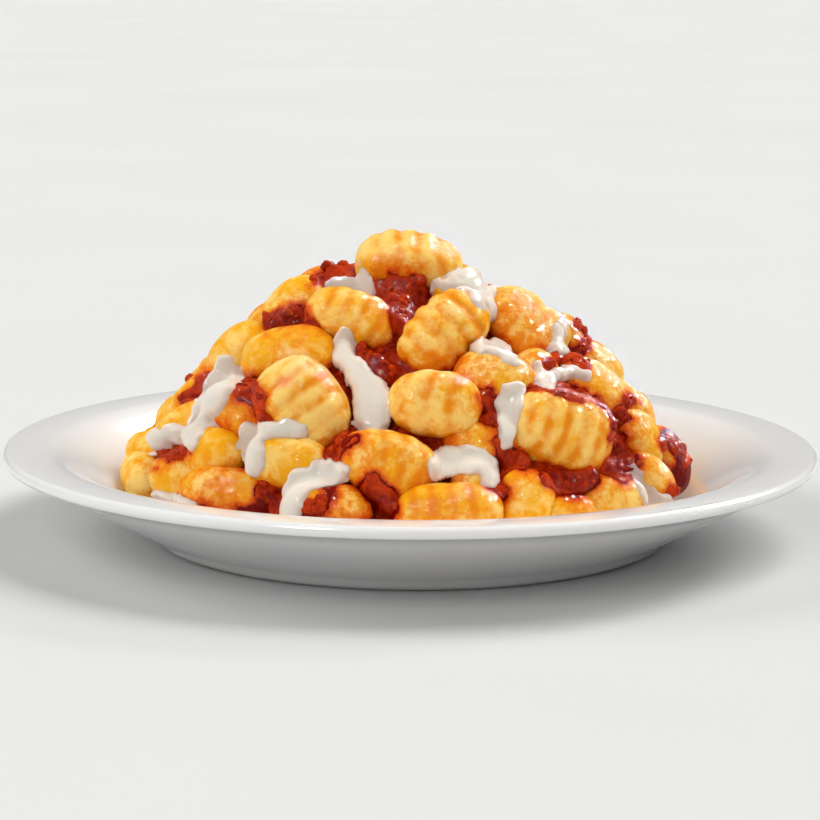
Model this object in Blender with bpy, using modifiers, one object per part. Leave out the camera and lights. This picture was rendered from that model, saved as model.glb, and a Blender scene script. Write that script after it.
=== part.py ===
"""Potato gnocchi heaped on a white dinner plate.

Two solids: the turned plate, and the heap, which is one solid out to its uneven outline.
The heap's skin follows the outermost gnocchi and the domed bed of sauce they lie in.
Units are metres. The origin is the centre of the plate's foot, on the table, with +Z up.
The front of the heap faces -Y.
"""

import math
import random

import bmesh
import bpy
from mathutils import Matrix, Vector
from mathutils.bvhtree import BVHTree

MM = 0.001

# Plate, all in millimetres: radii from the axis and heights above the table.
PLATE_RADIUS = 130.0
RIM_HEIGHT = 29.5
RIM_LIP = 1.9  # radius of the rounded edge
SHOULDER_RADIUS = 118.0  # where the flat rim turns down into the well
SHOULDER_HEIGHT = 29.0
RIM_THICKNESS = 7.6  # under the shoulder
FLOOR_RADIUS = 80.0
FLOOR_HEIGHT = 8.0
BODY_RADIUS = 85.0  # lower end of the sloping underside
BODY_HEIGHT = 3.4
FOOT_TOP_RADIUS = 83.0
FOOT_TOP_HEIGHT = 1.1
FOOT_OUTER = 80.5
FOOT_INNER = 76.0
RECESS_RADIUS = 72.0
RECESS_HEIGHT = 2.5
PLATE_SEGMENTS = 64
WALL_STEPS = 9
LIP_ARC = 150.0  # degrees of the rounded edge
LIP_STEPS = 5

# Heap, in millimetres. The gnocchi's centres lie on a dome over the well.
DOME_RADIUS = 86.0
DOME_BASE = 14.0
DOME_HEIGHT = 67.0
DOME_POWER = 1.2
SLOPE_STEP = 0.5  # height over which the dome's slope is read
BED_DEPTH = 3.0  # how far the sauce bed lies inside the gnocchi's centres
BED_STEPS = 7
BED_SEGMENTS = 32
BED_SKIRT = 77.0  # radius of the bed where it meets the plate's floor
PLATE_GAP = 0.4
THICKNESS = 0.9  # a gnocco's thickness over its width
SQUARENESS = 0.86  # below 1 a gnocco is blunter than an egg
FRONT_FACING = 0.6  # how far the front gnocchi's broad sides turn to -Y
CLEAR_SHARES = (-0.7, 0.0, 0.7)  # where across a gnocco its room above the plate is tried
GNOCCO_RINGS = 14
GNOCCO_SEGMENTS = 20
SEED = 11

# The heap's skin is drawn out along lines from its heart.
HEART = Vector((0.0, 0.0, 20.0))
FAR_OUT = 200.0
HALVINGS = 40  # steps of the search for a line's end on the plate
SKIN_CUTS = 26
CAP_ANGLE = 40.0
FLOOR_ANGLE = 8.0

# The gnocchi that face the front, in millimetres and degrees:
# across (+X), up (+Z), pushed back (+Y), turn of the long axis in front view,
# swing of its right end towards the front, length, width.
FRONT_GNOCCHI = [
    (-1, 87.6, 0, -3, 0, 34, 21),
    (17, 76, 14, -35, -20, 24, 15),
    (-18, 73, 0, -20, 10, 31, 19),
    (-24.5, 77.6, 6, 2, 20, 29, 18),
    (10, 70, 0, 42, -20, 33, 22),
    (-38, 71, 0, 50, 0, 27, 19),
    (34, 69, 0, -50, 0, 32, 21),
    (50.3, 62, 6, -50, 0, 20, 14.5),
    (-54, 58, 0, 40, 10, 27, 19),
    (-38, 62, 0, 8, 15, 32, 19),
    (26, 57, 2, -20, 0, 27, 18),
    (40, 56, 4, -60, 0, 21, 15),
    (59.5, 53.5, 5, -42, 0, 21, 14),
    (54.5, 52.5, 0, -28, -10, 29, 17),
    (7, 52, 0, -8, 0, 28, 20),
    (-32, 50.3, -3, -50, 15, 32.5, 25.5),
    (67, 43.5, 6, -60, 0, 19, 13),
    (-50, 46, 0, -15, 20, 27, 18),
    (-66, 45, 2, 45, 0, 23, 16),
    (45, 43, -3, -20, -15, 33, 27),
    (21, 41, 6, -5, 0, 25, 15),
    (-70, 37, 0, 30, 0, 24, 16),
    (-6, 36, 0, -14, 0, 31, 20),
    (71.5, 34, 0, -72, 10, 22, 15),
    (-60, 34, 0, 0, 60, 29, 18),
    (-36, 35, 0, -12, 10, 25, 18),
    (-83, 24, 8, 15, 40, 26, 15),
    (34, 24, 0, 80, -20, 24, 17),
    (21, 26, 5, -65, 0, 24, 16),
    (-70, 24, 0, -20, 30, 25, 16),
    (-54, 24, 0, 0, 15, 34, 19),
    (-24, 23, 0, 0, 5, 28, 18),
    (11, 23, 0, 3, 0, 33, 20),
    (60, 23, 0, -20, -25, 24, 17),
    (75, 24, 0, -52, 0, 19, 12.5),
    (46, 21, 1, -5, -20, 21, 13),
    (82, 24, 0, -65, 0, 24, 16),
    (-86, 18, 0, 0, 75, 30, 16),
    (40, 66, 22, -10, 62, 28, 18),
    (70.5, 36, 38, 12, 66, 27, 17),
    (79, 22, 41, -8, 72, 27, 16),
]

# Rings of gnocchi round the back: height, how many, first and last bearing in degrees,
# and how far each may stray in bearing, height, lean and depth, with its size.
BACK_RINGS = [
    (18, 9, 109, 256),
    (33, 9, 112, 253),
    (48, 8, 106, 256),
    (62, 6, 131, 243),
    (74, 3, 152, 222),
]
BACK_BEARING_STRAY = 3.0
BACK_HEIGHT_STRAY = 2.5
BACK_LEAN = 55.0
BACK_DEPTH_STRAY = 1.5
BACK_LENGTHS = (28.0, 34.0)
BACK_WIDTHS = (0.62, 0.72)  # over the length


def clear_scene():
    """Remove every object, so that the model starts from nothing."""
    for obj in list(bpy.data.objects):
        bpy.data.objects.remove(obj, do_unlink=True)


def make_collection(name):
    collection = bpy.data.collections.new(name)
    bpy.context.scene.collection.children.link(collection)
    return collection


def make_material(name, colour, roughness, coat=0.0):
    """A plain Principled material."""
    material = bpy.data.materials.new(name)
    material.use_nodes = True
    shader = material.node_tree.nodes["Principled BSDF"]
    shader.inputs["Base Color"].default_value = (*colour, 1.0)
    shader.inputs["Roughness"].default_value = roughness
    shader.inputs["Metallic"].default_value = 0.0
    shader.inputs["Coat Weight"].default_value = coat
    return material


def smooth_step(t):
    return t * t * (3.0 - 2.0 * t)


def plate_top(radius):
    """Height of the plate's upper face, in millimetres, at a radius inside the rim."""
    share = (radius - FLOOR_RADIUS) / (SHOULDER_RADIUS - FLOOR_RADIUS)
    share = min(max(share, 0.0), 1.0)
    return FLOOR_HEIGHT + (SHOULDER_HEIGHT - FLOOR_HEIGHT) * smooth_step(share)


def well_outline():
    """Points up the well's wall, from the floor's edge out to the shoulder."""
    span = SHOULDER_RADIUS - FLOOR_RADIUS
    radii = [FLOOR_RADIUS + span * i / WALL_STEPS for i in range(WALL_STEPS + 1)]
    return [(radius, plate_top(radius)) for radius in radii]


def plate_outline():
    """The plate's half section, from the middle of its top, round the rim, to the recess."""
    lip_radius = PLATE_RADIUS - RIM_LIP
    lip_height = RIM_HEIGHT - RIM_LIP
    lip = []
    for i in range(LIP_STEPS + 1):
        angle = math.radians(90.0 - LIP_ARC * i / LIP_STEPS)
        lip.append((
            lip_radius + RIM_LIP * math.cos(angle),
            lip_height + RIM_LIP * math.sin(angle),
        ))
    under = [
        (SHOULDER_RADIUS, SHOULDER_HEIGHT - RIM_THICKNESS),
        (BODY_RADIUS, BODY_HEIGHT),
        (FOOT_TOP_RADIUS, FOOT_TOP_HEIGHT),
        (FOOT_OUTER, 0.0),
        (FOOT_INNER, 0.0),
        (RECESS_RADIUS, RECESS_HEIGHT),
        (0.0, RECESS_HEIGHT),
    ]
    return [(0.0, FLOOR_HEIGHT)] + well_outline() + lip + under


def turned_object(name, outline, segments, collection):
    """An outline of (radius, height) points in millimetres, turned about Z by a Screw."""
    mesh = bpy.data.meshes.new(name)
    points = [(radius * MM, 0.0, height * MM) for radius, height in outline]
    edges = [(i, i + 1) for i in range(len(points) - 1)]
    mesh.from_pydata(points, edges, [])
    obj = bpy.data.objects.new(name, mesh)
    collection.objects.link(obj)
    screw = obj.modifiers.new("Turn", "SCREW")
    screw.axis = "Z"
    screw.steps = segments
    screw.render_steps = segments
    screw.use_merge_vertices = True
    screw.merge_threshold = 0.00001
    screw.use_smooth_shade = True
    return obj


def dome_radius(height):
    """Radius of the dome that carries the gnocchi's centres, at a height."""
    share = min(max((height - DOME_BASE) / DOME_HEIGHT, 0.0), 1.0)
    return DOME_RADIUS * math.sqrt(1.0 - share**DOME_POWER)


def dome_frame(bearing, height):
    """Point on the dome and the directions along it, up it and out of it there."""
    low = max(height - SLOPE_STEP, DOME_BASE)
    high = height + SLOPE_STEP
    rise = Vector((dome_radius(high) - dome_radius(low), high - low)).normalized()
    radial = Vector((math.sin(bearing), -math.cos(bearing), 0.0))
    along = Vector((math.cos(bearing), math.sin(bearing), 0.0))
    up = radial * rise.x + Vector((0.0, 0.0, rise.y))
    centre = radial * dome_radius(height) + Vector((0.0, 0.0, height))
    return centre, along, up, along.cross(up)


def front_gnocco(across, height, back, turn, swing, length, width):
    """A hand-placed gnocco: centre, long axis, outward direction and size."""
    depth = math.sqrt(max(dome_radius(height) ** 2 - across**2, 0.0))
    centre = Vector((across, back - depth, height))
    turn, swing = math.radians(turn), math.radians(swing)
    flat = Vector((math.cos(turn), 0.0, math.sin(turn)))
    long_axis = flat * math.cos(swing) + Vector((0.0, -math.sin(swing), 0.0))
    outward = (centre - Vector((0.0, 0.0, DOME_BASE))).normalized()
    outward.y -= FRONT_FACING
    outward -= long_axis * outward.dot(long_axis)
    return centre, long_axis, outward.normalized(), length, width


def back_gnocchi():
    """Rings of gnocchi over the rest of the dome, each a little out of line."""
    draw = random.Random(SEED)

    def stray(limit):
        return draw.uniform(-limit, limit)

    placed = []
    for height, count, first, last in BACK_RINGS:
        for i in range(count):
            bearing = first + (last - first) * i / (count - 1) + stray(BACK_BEARING_STRAY)
            level = height + stray(BACK_HEIGHT_STRAY)
            lean = math.radians(stray(BACK_LEAN))
            centre, along, up, outward = dome_frame(math.radians(bearing), level)
            long_axis = along * math.cos(lean) + up * math.sin(lean)
            centre += outward * stray(BACK_DEPTH_STRAY)
            length = draw.uniform(*BACK_LENGTHS)
            width = length * draw.uniform(*BACK_WIDTHS)
            placed.append((centre, long_axis, outward, length, width))
    return placed


def lift_clear(centre, width):
    """Raise a centre until a gnocco of that width clears the plate."""
    radius = math.hypot(centre.x, centre.y)
    half = 0.5 * width * THICKNESS
    for share in CLEAR_SHARES:
        reach = radius + half * share
        needed = plate_top(reach) + half * math.sqrt(1.0 - share * share)
        if centre.z < needed:
            centre = Vector((centre.x, centre.y, needed))
    return centre


def all_gnocchi():
    placed = [front_gnocco(*row) for row in FRONT_GNOCCHI] + back_gnocchi()
    return [
        (lift_clear(centre, width), long_axis, outward, length, width)
        for centre, long_axis, outward, length, width in placed
    ]


def blunt(value):
    return math.copysign(abs(value) ** SQUARENESS, value)


def add_gnocco(target, centre, long_axis, outward, length, width):
    """One blunt oval body, from a sphere primitive, added to the bmesh."""
    made = bmesh.ops.create_uvsphere(
        target, u_segments=GNOCCO_SEGMENTS, v_segments=GNOCCO_RINGS, radius=1.0
    )
    side = outward.cross(long_axis)
    turned = Matrix((side, outward, long_axis)).transposed()
    half = Vector((0.5 * width, 0.5 * width * THICKNESS, 0.5 * length))
    for vert in made["verts"]:
        reach = math.hypot(vert.co.x, vert.co.y)
        swell = blunt(reach) / reach if reach > 1e-6 else 1.0
        local = Vector((
            vert.co.x * swell * half.x,
            vert.co.y * swell * half.y,
            blunt(vert.co.z) * half.z,
        ))
        vert.co = (turned @ local + centre) * MM


def bed_outline():
    """The sauce bed's half section: down the dome's outside, then in along the plate."""
    dome = []
    for i in range(BED_STEPS + 1):
        share = 1.0 - (i / BED_STEPS) ** 1.5
        height = DOME_BASE + DOME_HEIGHT * share
        dome.append((max(dome_radius(height) - BED_DEPTH, 0.0), height))
    return dome + [(BED_SKIRT, FLOOR_HEIGHT + PLATE_GAP), (0.0, FLOOR_HEIGHT + PLATE_GAP)]


def build_plate(collection):
    plate = turned_object("plate", plate_outline(), PLATE_SEGMENTS, collection)
    plate.data.materials.append(make_material("white_porcelain", (0.86, 0.85, 0.83), 0.18, 0.5))
    return plate


def add_bed(target):
    """The sauce bed, spun about Z from its half section."""
    outline = bed_outline()
    verts = [target.verts.new((radius * MM, 0.0, height * MM)) for radius, height in outline]
    edges = [target.edges.new(pair) for pair in zip(verts, verts[1:])]
    bmesh.ops.spin(
        target,
        geom=verts + edges,
        cent=(0.0, 0.0, 0.0),
        axis=(0.0, 0.0, 1.0),
        angle=2.0 * math.pi,
        steps=BED_SEGMENTS,
        use_merge=True,
    )


def spread(corner):
    """Direction for a point of the unit cube: even over the ball, then crowded onto the dome.

    The ball's lowest cap, up to CAP_ANGLE below level, is opened out to cover the well's
    flat floor, and the rest of the ball is stretched down to meet it.
    """
    even = Vector([math.tan(0.25 * math.pi * value) for value in corner]).normalized()
    bearing = math.atan2(even.y, even.x)
    rise = math.degrees(math.asin(max(-1.0, min(1.0, even.z))))
    if rise < -CAP_ANGLE:
        rise = -90.0 + (rise + 90.0) * (90.0 - FLOOR_ANGLE) / (90.0 - CAP_ANGLE)
    else:
        rise = 90.0 - (90.0 - rise) * (90.0 + FLOOR_ANGLE) / (90.0 + CAP_ANGLE)
    rise = math.radians(rise)
    flat = math.cos(rise)
    return Vector((flat * math.cos(bearing), flat * math.sin(bearing), math.sin(rise)))


def room(direction, reach):
    """Cut a reach from the heart, in millimetres, back to stay PLATE_GAP above the plate."""

    def clear(value):
        point = HEART + direction * value
        return point.z >= plate_top(math.hypot(point.x, point.y)) + PLATE_GAP

    if clear(reach):
        return reach
    near, far = 0.0, reach
    for _ in range(HALVINGS):
        middle = 0.5 * (near + far)
        if clear(middle):
            near = middle
        else:
            far = middle
    return near


def build_heap(collection):
    """A ball of even faces drawn out from the heart to the outermost gnocco or the bed."""
    bodies = bmesh.new()
    for placed in all_gnocchi():
        add_gnocco(bodies, *placed)
    add_bed(bodies)
    tree = BVHTree.FromBMesh(bodies)
    bodies.free()

    skin = bmesh.new()
    bmesh.ops.create_cube(skin, size=2.0)
    bmesh.ops.subdivide_edges(skin, edges=skin.edges[:], cuts=SKIN_CUTS, use_grid_fill=True)
    for vert in skin.verts:
        direction = spread(vert.co)
        hit = tree.ray_cast((HEART + direction * FAR_OUT) * MM, -direction)[0]
        reach = (hit / MM - HEART).length
        vert.co = (HEART + direction * room(direction, reach)) * MM
    bmesh.ops.recalc_face_normals(skin, faces=skin.faces[:])
    mesh = bpy.data.meshes.new("gnocchi_heap")
    skin.to_mesh(mesh)
    skin.free()
    mesh.materials.append(make_material("gnocchi_in_sauce", (0.85, 0.50, 0.13), 0.35, 0.4))
    heap = bpy.data.objects.new("gnocchi_heap", mesh)
    collection.objects.link(heap)
    return heap


def main():
    clear_scene()
    parts = make_collection("potato_gnocchi")
    build_plate(parts)
    build_heap(parts)


main()
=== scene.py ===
"""Potato gnocchi heaped on a dinner plate, in chunky tomato sauce under ribbons of cream.

Lengths below are in millimetres unless a name or a property says otherwise, and MM turns
them into the metres that the meshes hold. The heap's front faces -Y.
"""

import math
import random

import bpy
import numpy as np
from bpy.props import FloatProperty, FloatVectorProperty, IntProperty, PointerProperty
from mathutils import Matrix, Vector


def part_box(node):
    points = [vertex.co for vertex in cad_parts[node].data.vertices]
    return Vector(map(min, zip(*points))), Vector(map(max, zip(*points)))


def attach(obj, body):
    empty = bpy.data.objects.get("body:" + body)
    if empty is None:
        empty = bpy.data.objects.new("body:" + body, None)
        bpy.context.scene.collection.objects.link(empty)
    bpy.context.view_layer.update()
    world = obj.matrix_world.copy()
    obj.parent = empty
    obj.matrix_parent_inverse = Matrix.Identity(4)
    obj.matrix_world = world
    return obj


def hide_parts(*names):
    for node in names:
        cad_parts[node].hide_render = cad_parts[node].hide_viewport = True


bl_info = {
    "name": "Potato gnocchi on a plate",
    "version": (1, 0, 0),
    "blender": (4, 5, 0),
    "location": "View3D > Sidebar > Gnocchi",
    "description": "Adds a plate of potato gnocchi with tomato sauce and cream, and its stage",
    "category": "Add Mesh",
}

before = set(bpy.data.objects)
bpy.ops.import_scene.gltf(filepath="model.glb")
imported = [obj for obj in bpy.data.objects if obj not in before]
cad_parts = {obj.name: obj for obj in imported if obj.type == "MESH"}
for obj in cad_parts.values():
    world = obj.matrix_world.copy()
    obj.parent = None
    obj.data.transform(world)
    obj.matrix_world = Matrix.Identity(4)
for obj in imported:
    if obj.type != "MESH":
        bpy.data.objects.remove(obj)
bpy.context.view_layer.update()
MM = 0.001
PLATE_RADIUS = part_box("plate")[1][0] / MM
RIM_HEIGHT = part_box("plate")[1][2] / MM
SEED = 11

# The dome that carries the gnocchi's centres, as in the solids.
DOME_RADIUS = 86.0
DOME_BASE = 14.0
DOME_HEIGHT = 67.0
DOME_POWER = 1.2
SLOPE_STEP = 0.5  # step up and down the dome over which its slope is taken
BED_DEPTH = 3.0  # from the dome in to the bed that the gnocchi lie on
SKIN_DEPTH = 8.0  # from the dome out to the gnocchi's outer sides
HEART = np.array([0.0, 0.0, 20.0])  # the point that the heap's maps are seen from
FRONT_FACING = 0.6  # how far the front gnocchi turn their broad sides to the front
CLEAR_SHARES = (-0.7, 0.0, 0.7)  # places across a gnocco that are kept off the plate
LONG_HALF = 13.2  # half length past which a smooth gnocco counts as a long one

# The plate's section, as in the solids.
SHOULDER_RADIUS = 118.0
SHOULDER_HEIGHT = 29.0
FLOOR_RADIUS = 80.0
FLOOR_HEIGHT = 8.0
FLAT_RADII = (0.0, 30.0, 60.0)
WELL_STEPS = 26
LIP_RADIUS = 1.9
LIP_ANGLES = (90.0, -60.0)
LIP_STEPS = 12
UNDERSIDE = [
    (124.0, 24.9), (118.0, 21.4), (102.0, 12.7), (87.0, 4.6), (85.2, 3.4), (84.2, 2.2),
    (83.0, 1.1), (81.6, 0.3), (80.6, 0.0), (76.0, 0.0), (75.0, 0.5), (72.0, 2.5),
    (40.0, 2.5), (0.0, 2.5),
]
FOOT_HEIGHT = 0.2  # the bare ring of the foot lies under this height
FOOT_RADIUS = 70.0  # and outside this radius
SUNK = 1.2  # a gnocco that would pass into the plate ends this far under its top

# Clouds of soft noise: size of their features in millimetres, and seed.
DOUGH_LUMPS = (13.0, 5)
DOUGH_DENTS = (3.6, 8)
POOL_SWELL = (14.0, 21)
CHUNK_LUMPS = (1.3, 41)
TRACK_EDGES = (5.0, 51)
STAIN_PATCHES = (7.0, 61)
CHUNK_PATCHES = (16.0, 71)
CREAM_SWELL = (7.0, 81)

# One gnocco: rings and points round it, for the front and the back of the heap, and where
# its grooves fade, as shares of its half length and of its half thickness.
FRONT_GRID = (52, 48)
BACK_GRID = (36, 34)
DENT_SHARE = 0.45  # height of the dents over the lumps
WAIST_LENGTH = 0.4  # spread of its slight waist over its half length
GROOVE_POWER = 1.6
GROOVE_ENDS = (0.70, 0.94)
GROOVE_SIDES = (-0.45, 0.35)

# The flat map of the heap: its cell and half width in millimetres, and the millimetres on
# it for one radian from straight up.
CHART_CELL = 0.5
CHART_EDGE = 145.0
CHART_SCALE = 83.0

# How the sauce lies, in millimetres.
POOL_STRAY = 3.0  # from the lowest to the highest of the pools' swell
POOL_DEPTH = 3.0  # the pools reach at most this far under the bed
PATCH_HOLLOW = 4.5  # half width of the hollows that a patch bridges
PATCH_DIP = 0.5  # how far it dips in them
PATCH_EDGE = 1.8  # width of its rounded edge
PATCH_DIVE = 1.5  # how steeply it dives under the gnocchi outside that edge
DIVE_LIMIT = 9.0
EDGE_STRAY = 5.0  # play of the ragged edges of patches and ribbons
SIGHT_SHARE = 0.15  # least share of a distance over the map that the eye's view may give
GROUND_BLUR = 1.3  # spread that softens the surface under patches and ribbons

# The pulp: half width of the domes and how many, then limits of their length and width
# over that half width, and of their height over the usual height.
PULP_DOMES = ((3.2, 900), (2.0, 3000), (1.2, 5000))
PULP_LENGTHS = (0.8, 1.5)
PULP_WIDTHS = (0.55, 0.9)
PULP_TOPS = (0.7, 1.2)
PULP_REACH = 1.75  # in radians from straight up
PULP_MEAN = 0.6  # its usual height, which the sauce's level is measured at
SAUCE_CELLS = 166
SAUCE_EVEN_ANGLE = -9.0  # in degrees: under it the sauce's rows are these
SAUCE_LOW_ANGLES = [-12.0, -16.0, -22.0, -30.0, -42.0]
PLATE_GAP = 0.05  # least gap to the plate

# How thin the sauce looks: on a coat, which lies high over the bed and close to the
# gnocchi, less a share for the pools. The pulp's crests are painted brighter too: painted
# light on the crests and painted shade in the hollows.
COAT_HEIGHTS = (1.0, 4.0)
COAT_GAPS = (0.5, 2.5)
CREST_LIGHT_HEIGHTS = (-0.5, 1.2)
COAT_THIN = 0.30
CREST_LIGHT_SHARE = 0.36
POOL_THICK = 0.06

# The loose chunks: their half width in millimetres, then limits of how deep they sink
# and how far they are stretched, over that half width, and how thin they look.
CHUNK_SIZE = 0.45
CHUNK_GROWTH = 1.3
CHUNK_RARITY = 2.5  # the higher, the rarer are large ones
CHUNK_SINKS = (-0.6, 0.0)
CHUNK_STRETCHES = (0.45, 1.6)
CHUNK_ROUGHNESS = 1.2
CHUNK_THINS = (0.0, 0.35)
CHUNK_GRID = (5, 8)

# How the cream lies, in millimetres.
CREAM_HOLLOW = 3.5  # half width of the hollows that it bridges
CREAM_DIP = 0.6  # how far it dips in them
CREAM_COVER = 0.4  # least height of its ground over the gnocchi
CREAM_SKIRT = 1.2  # width kept outside a ribbon's edge, where it dives out of sight
CREAM_DIVE = 1.6  # how steeply it dives there
CREAM_DROP = 0.3  # how far it lies lower just outside the edge
CREAM_BLUR = 0.4
CREAM_GAP = 0.1  # least gap to the plate
CREAM_BODY = 0.8  # thickness of the sheet

# The red of the gnocchi. Heights are over the sauce, in millimetres.
STAIN_HEIGHT = 2.2  # reach of the red
GLOW_HEIGHT = 6.5  # reach of the orange
CREVICE_GOLD_AND_SHADE_HEIGHT = 9.0  # reach of the deeper gold, partly oil and partly painted shade low in the crevices
MEAN_DEPTH = 5.0  # where the sauce lies deep, this far under the mean surface counts
WET_SPREAD = 3.0  # reach of the red beside sauce that shows
SHOWN_HEIGHT = 0.3  # sauce this little under the skin still counts as showing
LOW_HEIGHTS = (17.0, 27.0)  # under these heights the soaked gnocchi are redder
TOUCH_SHARE = 0.5  # red where the sauce touches
GLOW_SHARES = (0.25, 0.45)  # for a clean gnocco, and more for a stained one
BESIDE_SHARE = 0.75
SOAKED_FROM = 0.45  # stain from which a gnocco is redder all over, and by what share
SOAKED_SHARE = 0.45
PATCHY_SHARE = 0.5
LOW_FROM = 0.5  # stain from which a low gnocco is redder still, and by what share
LOW_SHARE = 1.5
# Share of that deeper gold, partly oil and partly painted shade of the crevices.
CREVICE_GOLD_AND_SHADE_SHARE = 0.45

# The front gnocchi: across (+X), up (+Z), back (+Y), turn and swing in degrees, length,
# width; then groove pitch (0 for none), groove depth, tone (0 pale, 1 golden), stain
# (0 clean, 1 soaked), bend, taper and boxiness (2 is round).
FRONT_GNOCCHI = [
    (-1, 87.6, 0, -3, 0, 34, 21, 6.3, 0.75, 0.25, 0.30, 1.0, -0.06, 2.6),
    (17, 76, 14, -35, -20, 24, 15, 0, 0, 0.5, 0.5, 1.0, 0.0, 2.2),
    (-18, 73, 0, -20, 10, 31, 19, 5.6, 0.35, 0.45, 0.35, 1.5, 0.06, 2.4),
    (-24.5, 77.6, 6, 2, 20, 29, 18, 0, 0, 0.6, 1.5, 1.0, 0.0, 2.2),
    (10, 70, 0, 42, -20, 33, 22, 5.8, 0.90, 0.50, 0.70, 2.5, 0.04, 2.3),
    (-38, 71, 0, 50, 0, 27, 19, 0, 0, 0.65, 0.40, 1.5, 0.05, 2.3),
    (34, 69, 0, -50, 0, 32, 21, 5.6, 0.55, 0.60, 0.95, 2.0, 0.05, 2.4),
    (50.3, 62, 6, -50, 0, 20, 14.5, 0, 0, 0.5, 0.5, 1.0, 0.0, 2.2),
    (-54, 58, 0, 40, 10, 27, 19, 0, 0, 0.55, 0.35, 1.5, 0.0, 2.3),
    (-38, 62, 0, 8, 15, 32, 19, 0, 0, 0.90, 0.60, 2.0, 0.10, 2.3),
    (26, 57, 2, -20, 0, 27, 18, 0, 0, 0.55, 0.85, 1.5, 0.0, 2.4),
    (40, 56, 4, -60, 0, 21, 15, 0, 0, 0.5, 0.6, 1.0, 0.0, 2.2),
    (59.5, 53.5, 5, -42, 0, 21, 14, 0, 0, 0.4, 0.5, 1.0, 0.0, 2.2),
    (54.5, 52.5, 0, -28, -10, 29, 17, 0, 0, 0.35, 0.55, 2.0, 0.05, 2.3),
    (7, 52, 0, -8, 0, 28, 20, 7.5, 0.35, 0.40, 0.40, 0.5, 0.04, 2.9),
    (-32, 50.3, -3, -50, 15, 32.5, 25.5, 5.6, 0.45, 0.15, 0.10, 1.0, -0.12, 2.6),
    (67, 43.5, 6, -60, 0, 19, 13, 0, 0, 0.5, 0.6, 1.0, 0.0, 2.2),
    (-50, 46, 0, -15, 20, 27, 18, 0, 0, 1.00, 0.90, 1.5, 0.05, 2.3),
    (-66, 45, 2, 45, 0, 23, 16, 0, 0, 0.6, 0.5, 1.0, 0.0, 2.2),
    (45, 43, -3, -20, -15, 33, 27, 5.4, 0.40, 0.20, 0.20, 1.0, 0.08, 2.6),
    (21, 41, 6, -5, 0, 25, 15, 0, 0, 0.5, 0.7, 1.0, 0.0, 2.2),
    (-70, 37, 0, 30, 0, 24, 16, 0, 0, 0.5, 0.45, 1.0, 0.0, 2.2),
    (-6, 36, 0, -14, 0, 31, 20, 6.0, 0.50, 0.70, 0.75, 1.5, 0.0, 2.5),
    (71.5, 34, 0, -72, 10, 22, 15, 0, 0, 0.6, 0.5, 1.0, 0.0, 2.2),
    (-60, 34, 0, 0, 60, 29, 18, 0, 0, 0.95, 0.45, 0.5, 0.0, 2.3),
    (-36, 35, 0, -12, 10, 25, 18, 0, 0, 0.6, 0.4, 1.0, 0.0, 2.4),
    (-83, 24, 8, 15, 40, 26, 15, 0, 0, 0.6, 0.5, 1.0, 0.0, 2.2),
    (34, 24, 0, 80, -20, 24, 17, 0, 0, 0.85, 0.5, 1.5, 0.06, 2.2),
    (21, 26, 5, -65, 0, 24, 16, 0, 0, 0.5, 0.9, 1.0, 0.0, 2.2),
    (-70, 24, 0, -20, 30, 25, 16, 0, 0, 0.7, 0.5, 1.0, 0.0, 2.2),
    (-54, 24, 0, 0, 15, 34, 19, 0, 0, 0.70, 1.35, 1.5, 0.04, 2.3),
    (-24, 23, 0, 0, 5, 28, 18, 0, 0, 0.60, 1.15, 1.0, 0.0, 2.2),
    (11, 23, 0, 3, 0, 33, 20, 5.8, 0.30, 0.65, 0.75, 1.5, 0.0, 2.4),
    (60, 23, 0, -20, -25, 24, 17, 0, 0, 0.4, 0.55, 1.0, 0.0, 2.2),
    (75, 24, 0, -52, 0, 19, 12.5, 0, 0, 0.6, 0.55, 1.0, 0.0, 2.2),
    (46, 21, 1, -5, -20, 21, 13, 0, 0, 0.5, 0.7, 1.0, 0.0, 2.2),
    (82, 24, 0, -65, 0, 24, 16, 0, 0, 0.6, 1.6, 1.0, 0.0, 2.2),
    (-86, 18, 0, 0, 75, 30, 16, 0, 0, 0.4, 0.4, 1.0, 0.0, 2.2),
    (40, 66, 22, -10, 62, 28, 18, 5.4, 0.80, 0.4, 0.4, 1.5, 0.0, 2.4),
    (70.5, 36, 38, 12, 66, 27, 17, 5.2, 0.90, 0.5, 0.5, 1.5, 0.05, 2.4),
    (79, 22, 41, -8, 72, 27, 16, 0, 0, 0.5, 0.6, 1.0, 0.0, 2.2),
]

# Rings of gnocchi round the back: height, how many, first and last bearing in degrees.
BACK_RINGS = [
    (18, 9, 109, 256),
    (33, 9, 112, 253),
    (48, 8, 106, 256),
    (62, 6, 131, 243),
    (74, 3, 152, 222),
]
BACK_BEARING_STRAY = 3.0
BACK_HEIGHT_STRAY = 2.5
BACK_LEAN = 55.0
BACK_DEPTH_STRAY = 1.5
BACK_LENGTHS = (28.0, 34.0)
BACK_WIDTHS = (0.62, 0.72)
BACK_RIDGED = 0.45  # share of them that have grooves
BACK_GROOVES = ((4.8, 5.8), (0.6, 1.2))  # limits of their pitch and depth
BACK_LOOKS = ((0.15, 0.85), (0.25, 0.85), (0.5, 2.5), (-0.08, 0.08), (2.2, 2.8))

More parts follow.
